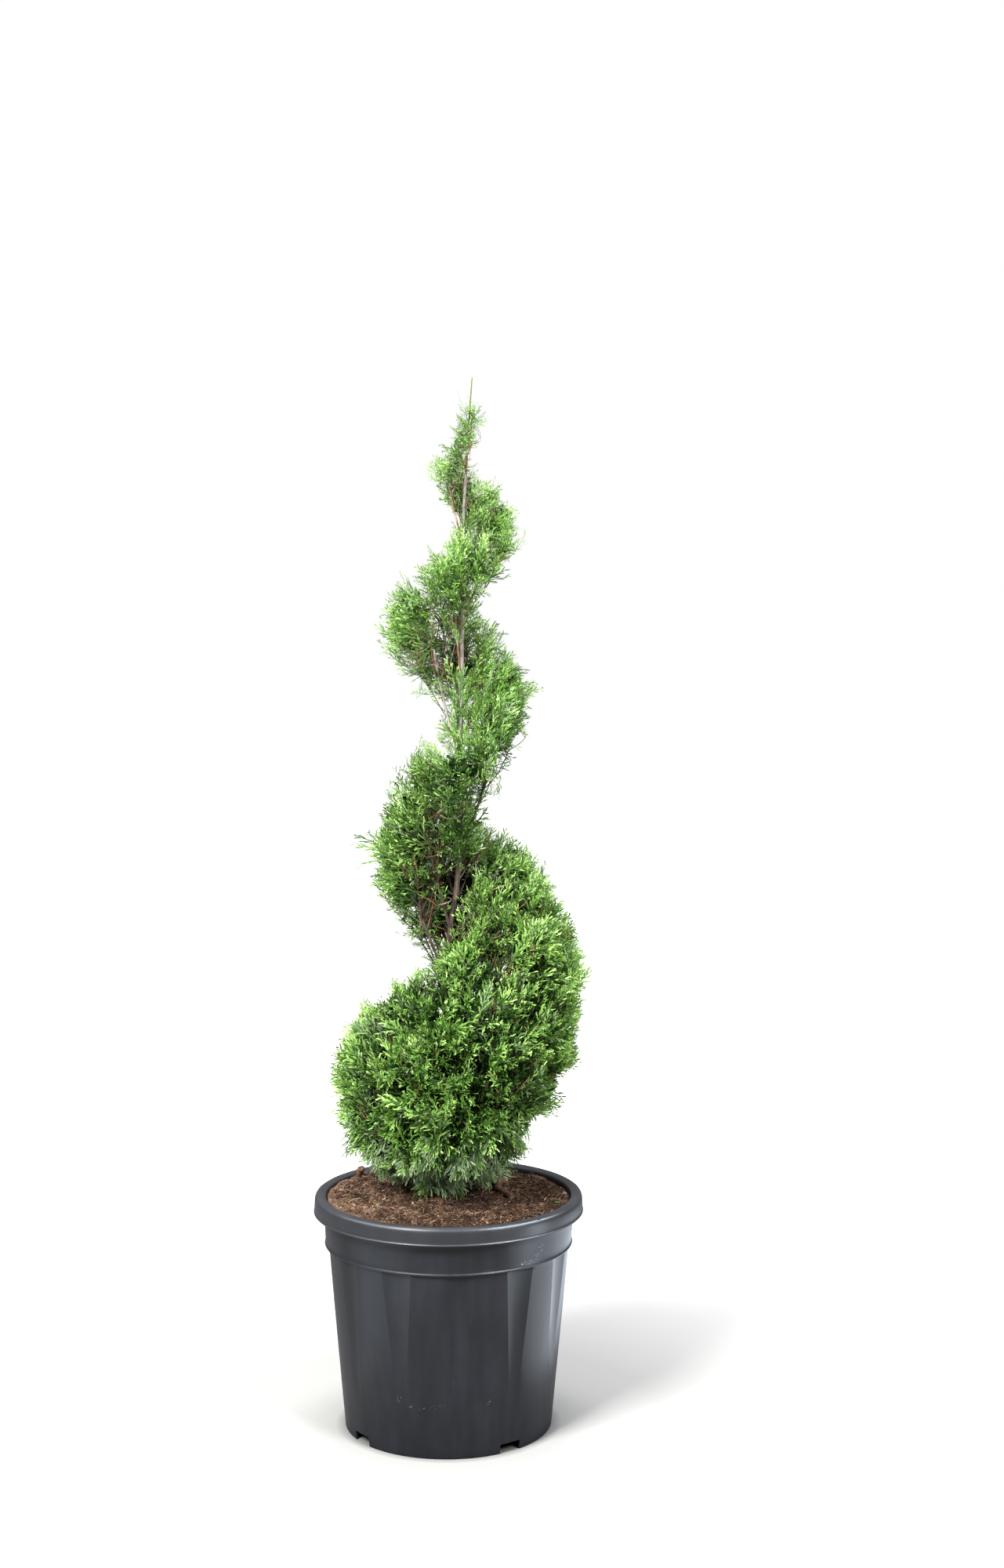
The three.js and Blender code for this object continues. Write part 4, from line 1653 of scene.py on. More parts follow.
@dataclass
class Bunch:
    """Sprays set in their places: a row of every array is one spray."""

    origin: Array
    ahead: Array
    above: Array
    scale: Array
    kind: Array
    palette: Array

    def joined(self, sprays: Sequence[tuple[Array, Array, Array]]
               ) -> tuple[Array, Array, Array]:
        """The sprays as one mesh.

        Args:
            sprays: the grown sprays that kind counts through.

        Returns:
            Its points, its faces and the material slot of each face.
        """
        aside = np.cross(self.above, self.ahead)
        colours = np.array([[leaf.slot for leaf in row] for row in PALETTES])
        points, faces, slots, total = [], [], [], 0
        for kind in np.unique(self.kind):
            rows = np.nonzero(self.kind == kind)[0]
            shape, index, parts = sprays[kind]
            placed, corners = set_out(shape * self.scale[rows, None, None], index,
                                      self.origin[rows],
                                      (self.ahead[rows], aside[rows], self.above[rows]))
            points.append(placed)
            faces.append(corners + total)
            slots.append(colours[self.palette[rows]][:, parts].ravel())
            total += len(placed)
        return np.concatenate(points), np.concatenate(faces), np.concatenate(slots)


def leaf_piece(name: str, parts: Sequence[tuple[Array, Array, Array]]) -> Piece:
    """Joins bunches of sprays into one piece.

    Args:
        name: the piece's name.
        parts: points, faces and material slots of each bunch.

    Returns:
        The piece.
    """
    first = np.cumsum([0] + [len(p[0]) for p in parts[:-1]])
    faces = np.concatenate([p[1] + start for p, start in zip(parts, first)])
    piece = mesh_piece(name, np.concatenate([p[0] for p in parts]), [faces],
                       np.concatenate([p[2] for p in parts]), material_row(Leaf))
    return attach(piece, BODY)


# ---- Masses of foliage ----


class Shell:
    """The surfaces of all the CAD masses, for asking what lies where."""

    def __init__(self, names: Sequence[str]) -> None:
        """Builds a search tree for each mass and one for all of them."""
        self.triangles = {name: node_triangles(name) for name in names}
        self.trees = {name: self.tree(t) for name, t in self.triangles.items()}
        self.all = self.tree(np.concatenate(list(self.triangles.values())))
        self.low = {n: t.reshape(-1, 3).min(0) for n, t in self.triangles.items()}
        self.high = {n: t.reshape(-1, 3).max(0) for n, t in self.triangles.items()}

    @staticmethod
    def tree(triangles: Array) -> BVHTree:
        """A search tree of triangles."""
        corners = triangles.reshape(-1, 3)
        index = np.arange(len(corners)).reshape(-1, 3)
        return BVHTree.FromPolygons(corners.tolist(), index.tolist(), all_triangles=True)

    def inside(self, name: str, point: Array) -> bool:
        """Says whether a point lies inside a mass."""
        if np.any(point < self.low[name]) or np.any(point > self.high[name]):
            return False
        place, normal, _, _ = self.trees[name].find_nearest(Vector(point))
        return (Vector(point) - place).dot(normal) < 0

    def covered(self, name: str, point: Array) -> bool:
        """Says whether a point just outside one mass lies in another."""
        return any(self.inside(other, point) for other in self.trees if other != name)

    def outside(self, name: str, point: Array) -> float:
        """How far a point lies outside a mass, or 0 inside it."""
        if self.inside(name, point):
            return 0.0
        return self.trees[name].find_nearest(Vector(point))[3]

    def clearance(self, point: Array, direction: Array, limit: float) -> float:
        """How far it is to the next surface in a direction, up to a limit."""
        hit = self.all.ray_cast(Vector(point), Vector(direction), limit)
        return limit if hit[3] is None else hit[3]

    def thickness(self, name: str, point: Array, direction: Array, limit: float) -> float:
        """How far a line runs through a mass before it comes out."""
        hit = self.trees[name].ray_cast(Vector(point), Vector(direction), limit)
        return limit if hit[3] is None else hit[3]


# How the foliage looks at a height: the height, the sprays on a square metre, their scale and how
# open they are.
TEXTURES = np.array([
    (0.30, 14000, 1.0, 0.05), (0.36, 12000, 1.0, 0.05), (0.62, 11500, 1.0, 0.1),
    (0.75, 10000, 0.98, 0.45), (0.95, 8000, 1.0, 0.7), (1.12, 8500, 0.95, 0.75),
    (1.22, 14000, 0.9, 0.65), (1.40, 18000, 0.72, 0.6)])


def texture_at(height: Array | float) -> tuple[Array, Array, Array]:
    """Density, scale and openness at heights, between the rows."""
    return tuple(np.interp(height, TEXTURES[:, 0], column) for column in TEXTURES.T[1:])


@dataclass
class Sites:
    """Places on a mass where sprays show: a row of every array is one place."""

    point: Array
    normal: Array
    out: Array
    under: Array
    tuft: Array
    sunk: Array

    def __len__(self) -> int:
        """How many there are."""
        return len(self.point)


# Where the shears cut closer on the right: from this X on, between two heights, and how deep.
CLOSER_CUTS = ((0.07, 0.37, 0.48, 0.017), (0.055, 0.885, 0.96, 0.015))


def cut_depth(point: Array) -> Array:
    """How much deeper than the plain shape the sprays end at places."""
    depth = np.zeros(len(point))
    for side, low, high, most in CLOSER_CUTS:
        depth += most * (ease(point[:, 0], side - 0.02, side + 0.03)
                         * ease(point[:, 2], low - 0.015, low + 0.015)
                         * (1 - ease(point[:, 2], high - 0.015, high + 0.015)))
    return depth


@dataclass
class Mass:
    """One quarter turn of the spiral and the places of its sprays.

    Sprays keep stem_room from the stem and are fewer where another coil lies within reach_out.
    sunk_share of the tips lie sunk_deep inside, and the rest spread round the surface by sunk, a
    middle and a deviation. stray_out is how far single sprays stand out, and brown_share of
    those above brown_above are dead.
    """

    node: str
    line: StemLine
    shell: Shell
    rng: Rng
    stem_room: float = 0.007
    reach_out: float = 0.06
    sunk_share: float = 0.3
    sunk_deep: tuple[float, float] = (-0.016, -0.006)
    sunk: tuple[float, float] = (-0.001, 0.0025)
    stray_out: tuple[float, float] = (0.004, 0.014)
    brown_share: float = 0.004
    brown_above: float = 0.62

    def sites(self) -> Sites:
        """Picks the places of the sprays on the mass's open faces.

        Returns:
            The places.
        """
        corners = self.shell.triangles[self.node]
        cross = np.cross(corners[:, 1] - corners[:, 0], corners[:, 2] - corners[:, 0])
        area = np.linalg.norm(cross, axis=1) / 2
        normals = unit(cross)
        density, _, _ = texture_at(corners.mean(axis=1)[:, 2])
        weight = area * density
        count = int(weight.sum())
        picks = self.rng.choice(len(corners), count, p=weight / weight.sum())
        mix = self.rng.dirichlet((1, 1, 1), count)
        point = (corners[picks] * mix[..., None]).sum(axis=1)
        normal = normals[picks]
        out = point - self.line.at(point[:, 2])
        away = np.linalg.norm(out, axis=1)
        out = unit(out)
        under = ease(-normal[:, 2], 0.15, 0.6) * ease(point[:, 2], 0.42, 0.6)
        tuft = drift(point, 0.03, 7.3)[:, 0]
        keep = away > self.line.girth(point[:, 2]) + self.stem_room
        lot = self.rng.uniform(size=count) + 0.45 * ease(-tuft, 0.25, 0.7)
        for i in np.nonzero(keep)[0]:
            if self.shell.covered(self.node, point[i] + normal[i] * 0.004):
                keep[i] = False
                continue
            room = self.shell.clearance(point[i] + normal[i] * 0.001, normal[i], self.reach_out)
            keep[i] = lot[i] < (1 - 0.5 * under[i]) * (0.3 + 0.7 * ease(room, 0.008, 0.05))
        deep = self.rng.uniform(size=count) < self.sunk_share
        sunk = np.where(deep, self.rng.uniform(*self.sunk_deep, count),
                        self.rng.normal(*self.sunk, count))
        return Sites(point[keep], normal[keep], out[keep], under[keep], tuft[keep], sunk[keep])

    def directions(self, sites: Sites) -> Array:
        """Finds the way each spray points: outwards and up, and down at the plant's skirt.

        Args:
            sites: the places.

        Returns:
            A unit vector for each.
        """
        height = sites.point[:, 2]
        droop = 1 - ease(height, 0.3, 0.47)
        lift = 0.55 - 1.25 * droop - 0.55 * sites.under
        way = (sites.normal * (0.8 - 0.5 * sites.under)[:, None]
               + sites.out * (0.25 + 0.5 * sites.under)[:, None] + UP * lift[:, None])
        sway = drift(sites.point, 0.034, 2.1) * 0.55
        way = unit(unit(way) + sway + self.rng.normal(0, 0.17, way.shape))
        facing = (way * sites.normal).sum(axis=1)
        return unit(way + sites.normal * np.maximum(0.3 - facing, 0)[:, None])

    def bunch(self, sites: Sites) -> Bunch:
        """Sets a spray at each place.

        Args:
            sites: the places.

        Returns:
            The sprays.
        """
        n = len(sites)
        height = sites.point[:, 2]
        _, scale, lacy = texture_at(height)
        ahead = self.directions(sites)
        facing = drift(sites.point, 0.04, 5.7) + self.rng.normal(0, 0.3, (n, 3))
        across = unit(np.cross(ahead, facing))
        scale = scale * self.rng.uniform(0.78, 1.15, n)
        skirt = self.rng.uniform(size=n) < (1 - ease(height, 0.33, 0.4))
        open_share = np.clip(lacy + 0.6 * sites.under, 0, 1)
        lot = self.rng.uniform(size=n)
        kind = np.where(lot < open_share, Habit.LACY.first,
                        np.where(lot > 0.8, Habit.LONG.first, Habit.FULL.first))
        kind = np.where(skirt, Habit.SKIRT.first, kind) + self.rng.integers(0, SPRAYS_PER_HABIT, n)
        length = SPRAY_LENGTHS[kind // SPRAYS_PER_HABIT] * scale
        deep = np.array([
            self.shell.thickness(self.node, p - q * 0.002, -a, 0.09)
            for p, q, a in zip(sites.point, sites.normal, ahead)])
        fitted = np.clip(deep / length, 0.45, 1.0)
        scale, length = scale * fitted, length * fitted
        astray = self.rng.uniform(size=n) < 0.04 + 0.08 * lacy
        stray = np.where(astray, self.rng.uniform(*self.stray_out, n), 0)
        stand = sites.sunk + 0.008 * np.minimum(sites.tuft, 0.5) + stray - cut_depth(sites.point)
        tip = sites.point + sites.normal * stand[:, None]
        tip[:, 2] = np.maximum(tip[:, 2], LOWEST_TIP)
        origin = tip - ahead * (0.95 * length)[:, None]
        return Bunch(origin, ahead, across, scale, kind, self.palette(sites, skirt))

    def palette(self, sites: Sites, skirt: Array) -> Array:
        """Deals the colours: lighter facing up, standing out and outside, darker sunk in, greyer
        below, seldom brown. The lighter and darker tones are partly fresh and old growth, partly
        painted light from above and painted shade in the hollows.

        Args:
            sites: the places.
            skirt: which sprays hang in the plant's skirt.

        Returns:
            A row of PALETTES for each spray.
        """
        n = len(sites)
        # Painted light and shade: up-facing, outstanding sprays get lighter palettes and sunk ones
        # darker, partly for their growth and partly as painted light from above and shade inside.
        tone = (1.5 - 1.2 * sites.normal[:, 2] - 1.8 * sites.tuft - 320 * sites.sunk
                + self.rng.normal(0, 0.9, n))
        tone = np.clip(np.round(tone), 0, GREEN_PALETTES - 2).astype(int)
        _, _, lacy = texture_at(sites.point[:, 2])
        lit = self.rng.uniform(size=n) < 1.5 * lacy
        tone = np.where(lit, OPEN_PALETTE + tone * 4 // 6, tone)
        grey = self.rng.uniform(size=n) < 0.08 + 0.8 * skirt + 0.25 * sites.under
        tone = np.where(grey, GREY_PALETTE + self.rng.integers(0, 2, n), tone)
        dead = self.rng.uniform(size=n) < self.brown_share
        dead &= sites.point[:, 2] > self.brown_above
        return np.where(dead, DEAD_PALETTE, tone)

    def filling(self, sites: Sites) -> Bunch:
        """Dark sprays deep inside, so that a full coil isn't looked through. Their near-black
        palettes are partly old inner growth and partly painted shade deep in the coil.

        Args:
            sites: the places on the surface above them.

        Returns:
            The sprays.
        """
        depth_at = np.interp(sites.point[:, 2], (0.3, 0.6, 0.8, 1.0), (0.6, 0.5, 0.24, 0.06))
        rows = np.nonzero(self.rng.uniform(size=len(sites)) < depth_at)[0]
        point, normal = sites.point[rows], sites.normal[rows]
        deep = np.array([self.shell.thickness(self.node, p - q * 0.002, -q, 0.2)
                         for p, q in zip(point, normal)])
        inset = np.clip(deep * self.rng.uniform(0.22, 0.5, len(rows)), 0.016, 0.05)
        middle = point - normal * inset[:, None]
        ahead = self.rng.normal(size=(len(rows), 3)) + UP * 0.3
        ahead = unit(ahead - normal * (ahead * normal).sum(axis=1)[:, None] * 0.75)
        above = unit(np.cross(ahead, self.rng.normal(size=(len(rows), 3))))
        room = np.array([min(self.shell.thickness(self.node, p, a, 0.05),
                             self.shell.thickness(self.node, p, -a, 0.05))
                         for p, a in zip(middle, ahead)])
        scale = np.minimum(self.rng.uniform(0.7, 1.05, len(rows)) * np.clip(deep / 0.09, 0.3, 1.0),
                           room * 0.8 / 0.03)
        scale *= [self.shell.inside(self.node, p) for p in middle]
        origin = middle - ahead * (0.03 * scale)[:, None]
        kind = Habit.INNER.first + self.rng.integers(0, SPRAYS_PER_HABIT, len(rows))
        # Painted shade: the near-black palettes stand for the shade deep in the coil, with the
        # dark of old inner growth.
        palette = np.where(point[:, 2] > 0.9, DEEPEST_OPEN_PALETTE,
                           self.rng.choice(DEEPEST_PALETTES, len(rows)))
        return Bunch(origin, ahead, above, scale, kind, palette)


@dataclass
class Twigs:
    """Branches from the stem and the boughs, and the twigs from them to the sprays."""

    paths: list[Array] = field(default_factory=list)
    radii: list[Array] = field(default_factory=list)
    slots: list[Array] = field(default_factory=list)
    steps: int = 4
    sides: int = 3

    def add(self, start: Array, bend: Array, end: Array, thick: Array, thin: Array,
            slot: Array) -> None:
        """Adds bent tapering twigs, a row of each array for each.

        Args:
            start: where they start.
            bend: the point that they bend towards.
            end: where they end.
            thick: radii at the start.
            thin: radii at the end.
            slot: their material slots.
        """
        share = np.linspace(0, 1, self.steps + 1)[None, :]
        self.paths.append(bent(start[:, None], bend[:, None], end[:, None], share[..., None]))
        self.radii.append(thick[:, None] * (1 - share) + thin[:, None] * share)
        self.slots.append(slot)

    def piece(self, name: str) -> Piece:
        """Joins the twigs.

        Args:
            name: the piece's name.

        Returns:
            The piece.
        """
        slots = np.concatenate(self.slots)
        points, walls, caps = tubes(np.concatenate(self.paths), np.concatenate(self.radii),
                                    self.sides)
        finishes = np.concatenate([np.repeat(slots, self.steps * self.sides), np.tile(slots, 2)])
        piece = mesh_piece(name, points, [walls, caps], finishes, material_row(Wood))
        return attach(piece, BODY)


@dataclass
class Branching:
    """The rule by which branches leave the stem and boughs and reach every spray."""

    line: StemLine
    ascent: float = 1.25
    sprays_per_branch: int = 11
    deepest: float = 0.035
    lowest: float = 0.31
    bough_reach: float = 0.09
    bare: float = 0.007

    def heads(self, ends: Array, rng: Rng) -> Array:
        """Spreads branch ends evenly among the feet of the sprays.

        Args:
            ends: the feet of the sprays.
            rng: the random numbers.

        Returns:
            The rows of ends that are taken as branch ends.
        """
        count = max(2, len(ends) // self.sprays_per_branch)
        chosen = [int(rng.integers(len(ends)))]
        distance = np.linalg.norm(ends - ends[chosen[0]], axis=1)
        for _ in range(count - 1):
            chosen.append(int(distance.argmax()))
            distance = np.minimum(distance, np.linalg.norm(ends - ends[chosen[-1]], axis=1))
        return np.array(chosen)

    def starts(self, head: Array, floor: float, rng: Rng) -> Array:
        """Finds where branches leave the stem, or a bough that ends near their heads.

        Args:
            head: the ends of the branches.
            floor: the lowest height on the stem for them.
            rng: the random numbers.

        Returns:
            Their starts.
        """
        radius = np.linalg.norm(head[:, :2] - self.line.at(head[:, 2])[:, :2], axis=1)
        height = np.clip(head[:, 2] - self.ascent * radius, floor, None)
        height = np.maximum(np.minimum(height, head[:, 2] - 0.8 * radius), self.lowest)
        start = self.line.at(height)
        for bough in BOUGHS:
            end = bough.path(self.line, np.array(1.0))
            gap = np.linalg.norm(head - end, axis=1)
            way = unit(end - self.line.at(end[2]))
            beside = ((head - self.line.at(head[:, 2])) @ way) > 0.6 * radius
            near = (gap < self.bough_reach) & (head[:, 2] > end[2] - 0.01) & beside
            start[near] = bough.path(self.line, rng.uniform(0.55, 1.0, near.sum()))
        return start

    def grow(self, mass: Mass, bunch: Bunch, twigs: Twigs) -> None:
        """Grows the branches and twigs of one mass.

        Args:
            mass: the mass.
            bunch: its sprays.
            twigs: where the twigs go.
        """
        feet, rng = bunch.origin, mass.rng
        chosen = self.heads(feet, rng)
        inward = self.line.at(feet[chosen][:, 2]) - feet[chosen]
        inward[:, 2] = -0.3 * np.linalg.norm(inward, axis=1)
        away = np.linalg.norm(inward, axis=1)
        head = feet[chosen] + unit(inward) * np.minimum(self.deepest * 0.6, away * 0.3)[:, None]
        start = self.starts(head, mass.shell.low[mass.node][2] - 0.02, rng)
        slim = np.interp(head[:, 2].mean(), (0.7, 1.0, 1.3), (1.0, 0.75, 0.4))
        n = len(head)
        span = np.linalg.norm(head - start, axis=1)
        bend = (start + head) / 2
        bend[:, 2] -= 0.1 * span
        bend += rng.normal(0, 0.08, (n, 3)) * span[:, None]
        thick = np.clip(0.0008 + 0.009 * span, 0.0009, 0.002) * rng.uniform(0.85, 1.15, n)
        slot = rng.choice([Wood.OLD.slot, Wood.PALE.slot, Wood.YOUNG.slot], n, p=(0.8, 0.1, 0.1))
        greener = float(np.interp(head[:, 2].mean(), (0.8, 1.1), (0.0, 0.6)))
        slot = np.where(rng.uniform(size=n) < greener, Wood.GREEN.slot, slot)
        twigs.add(start, bend, head, thick * slim, np.full(n, 0.0007 * slim), slot)
        nearest = np.linalg.norm(feet[:, None] - head[None], axis=2).argmin(axis=1)
        share = rng.uniform(0.7, 1.0, len(feet))[:, None]
        root = bent(start[nearest], bend[nearest], head[nearest], share)
        reach = np.linalg.norm(feet - root, axis=1)[:, None]
        toward = feet - bunch.ahead * np.minimum(reach * 0.45, 0.012)
        tip = feet + bunch.ahead * 0.012 * bunch.scale[:, None]
        kept = np.array([mass.shell.outside(mass.node, p) < self.bare
                         for p in (root + feet) / 2])
        m = kept.sum()
        slot = rng.choice([Wood.PALE.slot, Wood.YOUNG.slot, Wood.GREEN.slot], m,
                          p=(0.1, 0.22, 0.68))
        twigs.add(root[kept], toward[kept], tip[kept], np.full(m, 0.0009 * slim),
                  np.full(m, 0.0005 * slim), slot)


@dataclass(frozen=True)
class StemTuft:
    """Sprays that grow out of the stem, or out of a branch at a distance from it.

    low and high are the heights of their feet, side their direction in degrees from +X, spread
    how far they vary from it, tilt how steeply they rise and away the distance from the stem.
    """

    low: float
    high: float
    side: float
    spread: float
    count: int
    habit: Habit
    tilt: float
    scale: float = 1.0
    away: float = 0.0

    def bunch(self, line: StemLine, rng: Rng) -> Bunch:
        """Sets the sprays.

        Args:
            line: the stem.
            rng: the random numbers.

        Returns:
            The sprays.
        """
        n = self.count
        height = np.linspace(self.low, self.high, n) + rng.uniform(-0.003, 0.003, n)
        side = np.radians(self.side + rng.uniform(-self.spread, self.spread, n))
        tilt = np.radians(self.tilt + rng.normal(0, 9, n))
        ahead = direction(side, tilt)
        above = unit(np.cross(ahead, rng.normal(size=(n, 3))))
        scale = self.scale * rng.uniform(0.75, 1.15, n)
        kind = self.habit.first + rng.integers(0, SPRAYS_PER_HABIT, n)
        first = LEADER_PALETTE if self.habit is Habit.LEADER else OPEN_PALETTE
        palette = first + (0 if self.habit is Habit.LEADER else rng.integers(0, OPEN_PALETTES, n))
        origin = line.at(height) + ahead * line.girth(height)[:, None]
        origin[:, :2] += self.away * np.stack([np.cos(side), np.sin(side)], 1)
        return Bunch(origin, ahead, above, scale, kind, np.broadcast_to(palette, n))


STEM_TUFTS = (
    StemTuft(0.732, 0.772, 275, 50, 16, Habit.LONG, 62),
    StemTuft(0.76, 0.835, 268, 55, 24, Habit.LONG, 58),
    StemTuft(0.825, 0.86, 250, 70, 10, Habit.FULL, 40),
    StemTuft(0.84, 0.93, 290, 28, 22, Habit.COMBED, 82, 1.0, 0.052),
    StemTuft(0.925, 0.965, 262, 50, 9, Habit.LACY, 52),
    StemTuft(1.04, 1.1, 258, 40, 12, Habit.COMBED, 80, 0.85, 0.014),
    StemTuft(1.135, 1.16, 270, 60, 6, Habit.LACY, 48, 0.8),
    StemTuft(0.405, 0.44, 345, 18, 6, Habit.LONG, 6, 0.95, 0.088),
    StemTuft(0.745, 0.76, 186, 10, 3, Habit.LACY, 8, 1.1, 0.07),
    StemTuft(0.722, 0.73, 196, 10, 2, Habit.LACY, -6, 1.0, 0.06),
    StemTuft(0.9, 0.915, 338, 14, 3, Habit.LACY, 8, 0.9, 0.03),
    StemTuft(1.115, 1.13, 345, 16, 4, Habit.LACY, 12, 0.85, 0.012),
    StemTuft(1.31, 1.334, 90, 180, 14, Habit.LACY, 60, 0.5),
    StemTuft(1.328, 1.332, 180, 15, 1, Habit.LEADER, 76, 0.8),
    StemTuft(1.308, 1.32, 0, 20, 2, Habit.LEADER, 66, 0.75),
    StemTuft(1.338, 1.366, 90, 180, 6, Habit.LEADER, 80, 0.38),
)


@dataclass
class Foliage:
    """All the masses of the spiral with their twigs."""

    line: StemLine
    seed: int = 77
    tiers: tuple[tuple[str, float], ...] = (("lower", 0.62), ("middle", 1.0), ("upper", 9.0))

    def build(self) -> list[Piece]:
        """Builds every mass.

        Returns:
            The finished pieces.
        """
        names = sorted(n for n in frame["nodes"] if n.startswith("foliage_"))
        shell = Shell(names)
        sprays = grow_sprays()
        branching = Branching(self.line)
        tiers = {name: Twigs() for name, _ in self.tiers}
        pieces = []
        for number, name in enumerate(names):
            mass = Mass(name, self.line, shell, np.random.default_rng(self.seed + number))
            sites = mass.sites()
            bunch = mass.bunch(sites)
            filling = mass.filling(sites)
            piece = leaf_piece(name.replace("foliage", "sprays"),
                               [b.joined(sprays) for b in (bunch, filling) if len(b.scale)])
            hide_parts(name)
            pieces.append(piece)
            middle = (shell.low[name][2] + shell.high[name][2]) / 2
            tier = next(t for t, top in self.tiers if middle < top)
            branching.grow(mass, bunch, tiers[tier])
            LOG.info("%s: %d sprays, %d inside", name, len(sites), len(filling.scale))
        rng = np.random.default_rng(self.seed - 1)
        grown = [tuft.bunch(self.line, rng).joined(sprays) for tuft in STEM_TUFTS]
        pieces.append(leaf_piece("sprays_stem", grown))
        for tier, twigs in tiers.items():
            pieces.append(twigs.piece(f"twigs_{tier}"))
        return pieces


# ---- Stage ----


SHEEN = (0.79, 0.89, 1.0)
BLACK = (0.0, 0.0, 0.0)
WHITE = (1.0, 1.0, 1.0)


@dataclass(frozen=True)
class SoftBox:
    """A soft light. A sheen light is a panel that only the pot's gloss shows."""

    name: str
    place: Colour
    target: Colour
    size: tuple[float, float]
    power: float
    tint: Colour = WHITE
    sheen: bool = False

    def build(self) -> None:
        """Sets the light up."""
        data = bpy.data.lights.new(self.name, "AREA")
        data.shape = "RECTANGLE"
        data.size, data.size_y = self.size
        data.energy = self.power
        data.color = self.tint
        light = bpy.data.objects.new(self.name, data)
        bpy.context.scene.collection.objects.link(light)
        light.location = self.place
        light.visible_camera = False
        if self.sheen:
            light.visible_diffuse = False
            light.light_linking.receiver_collection = glossy_pieces()
        way = Vector(self.target) - Vector(self.place)
        light.rotation_mode = "QUATERNION"
        light.rotation_quaternion = way.to_track_quat("-Z", "Y")


def glossy_pieces() -> bpy.types.Collection:
    """The pieces whose gloss shows the sheen lights."""
    group = bpy.data.collections.get("glossy_pieces")
    if group is None:
        group = bpy.data.collections.new("glossy_pieces")
        for name in ("nursery_pot", "pot_splashes"):
            group.objects.link(bpy.data.objects[name])
    return group


def floor_panel(name: str, x: float, y: float, size: tuple[float, float], power: float
                ) -> SoftBox:
    """A sheen light that lies on the floor and faces up, as a bright floor does."""
    return SoftBox(name, (x, y, 0.004), (x, y, 1.0), size, power, SHEEN, True)


def side_panel(name: str, place: Colour, size: tuple[float, float], power: float) -> SoftBox:
    """A sheen light that stands beside the pot and faces it."""
    return SoftBox(name, place, (0.0, 0.0, 0.3), size, power, SHEEN, True)


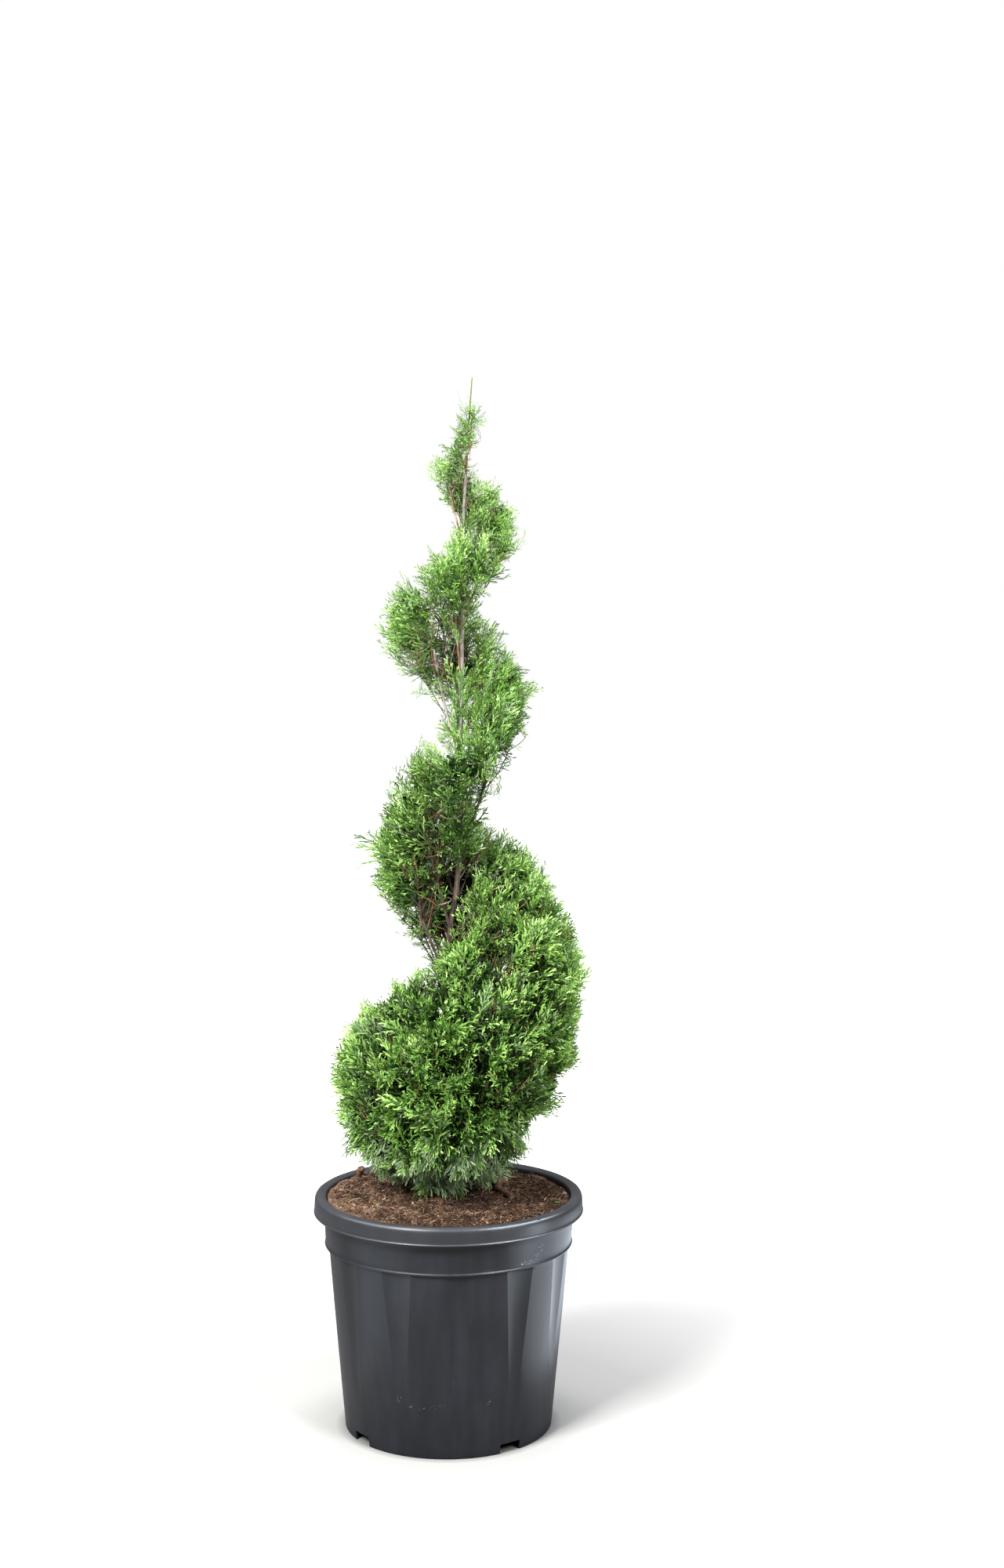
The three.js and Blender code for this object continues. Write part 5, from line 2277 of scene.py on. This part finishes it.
@dataclass
class Studio:
    """A pale floor, a white surround, soft lights and the camera.

    fade is where the floor turns white, shade where the shadow under the pot ends, surround how
    strongly the white surround lights the scene and backdrop how bright it looks.
    """

    floor_radius: float = 14.0
    fade: tuple[float, float] = (0.3, 1.3)
    shade: tuple[float, float] = (0.118, 0.15)
    surround: float = 0.29
    backdrop: float = 1.0
    camera_place: Colour = (0.071, -2.96, 1.085)
    lens: float = 51.05
    drop: float = -0.114
    boxes: tuple[SoftBox, ...] = (
        SoftBox("key", (-1.7, -2.3, 2.6), (0.0, 0.0, 0.7), (1.2, 1.2), 292.0, (1.0, 0.99, 0.96)),
        SoftBox("fill", (2.1, -2.2, 2.2), (0.0, 0.0, 0.7), (1.0, 1.0), 118.0),
        SoftBox("top", (0.0, 0.3, 3.6), (0.0, 0.0, 0.4), (1.2, 1.2), 95.0),
        floor_panel("low_right", 0.85, 0.35, (1.1, 0.95), 8.0),
        floor_panel("low_corner", 1.0, -0.32, (0.75, 0.36), 3.5),
        floor_panel("low_left", -0.7, -0.36, (0.8, 0.62), 1.5),
        floor_panel("far_right", 1.75, -0.42, (0.7, 0.5), 24.0),
        side_panel("high_right", (2.3, -0.7, 1.9), (2.6, 0.7), 270.0),
        side_panel("high_front", (0.0, -2.9, 2.2), (3.6, 0.6), 50.0),
        side_panel("high_left", (-2.3, -0.7, 1.9), (2.6, 0.7), 90.0),
    )

    def floor(self) -> None:
        """Lays the floor, pale round the pot with a painted shadow under it, fading to the white
        of the surround.
        """
        deselect_all()
        bpy.ops.mesh.primitive_circle_add(
            vertices=128, radius=self.floor_radius, fill_type="NGON", location=(0, 0, 0))
        piece = bpy.context.object
        piece.name = "floor"
        material, nodes, shader = new_material("floor_pale")
        length = nodes.add("ShaderNodeVectorMath", {0: nodes.place()}, operation="LENGTH")
        far = nodes.span(length.outputs["Value"], self.fade, (0.0, 1.0))
        seen = nodes.add("ShaderNodeLightPath").outputs["Is Camera Ray"]
        # Painted shadow: the floor's colour turns black under the pot.
        under = nodes.span(length.outputs["Value"], self.shade, (0.03, 1.0))
        pale = nodes.blend(seen, (0.2, 0.2, 0.2), (0.46, 0.46, 0.457))
        nodes.feed(shader, {
            "Base Color": nodes.blend(under, BLACK, pale), "Roughness": 0.9,
            "Specular IOR Level": 0.1, "Emission Strength": 1.0,
            "Emission Color": nodes.blend(nodes.times(seen, far), BLACK, WHITE)})
        piece.data.materials.append(material)

    def world(self) -> None:
        """Surrounds the scene with white, which lights it more softly than it looks."""
        world = bpy.data.worlds.new("surround")
        bpy.context.scene.world = world
        world.use_nodes = True
        nodes = Nodes(world.node_tree)
        world.node_tree.nodes.clear()
        looks = nodes.add("ShaderNodeBackground", {"Color": WHITE, "Strength": self.backdrop})
        lights = nodes.add("ShaderNodeBackground", {
            "Color": (0.97, 0.985, 1.0), "Strength": self.surround})
        seen = nodes.add("ShaderNodeLightPath").outputs["Is Camera Ray"]
        mix = nodes.add("ShaderNodeMixShader", {0: seen, 1: lights.outputs[0],
                                                2: looks.outputs[0]})
        nodes.add("ShaderNodeOutputWorld", {"Surface": mix.outputs[0]})

    def camera(self) -> None:
        """Sets the camera, level and in front of the plant."""
        data = bpy.data.cameras.new("camera")
        data.sensor_width = 36.0
        data.lens = self.lens
        data.shift_y = self.drop
        data.clip_end = 60.0
        camera = bpy.data.objects.new("camera", data)
        bpy.context.scene.collection.objects.link(camera)
        camera.location = self.camera_place
        camera.rotation_euler = (math.radians(90), 0, 0)
        bpy.context.scene.camera = camera

    def build(self) -> None:
        """Builds the whole stage."""
        self.floor()
        self.world()
        self.camera()
        for box in self.boxes:
            box.build()
        bpy.context.scene.view_settings.view_transform = "Standard"


def main() -> None:
    """Builds the pot, the compost, the wood and the foliage, and then the stage."""
    logging.basicConfig(level=logging.INFO, format="%(message)s")
    line = StemLine()
    pieces = NurseryPot().build() + Compost().build() + [Trunk(line).build()]
    pieces += [bough.build(line) for bough in BOUGHS]
    pieces += Foliage(line).build()
    for piece in pieces:
        LOG.info("%s: %d faces", piece.name, len(piece.data.polygons))
    Studio().build()


if __name__ == "__main__":
    main()
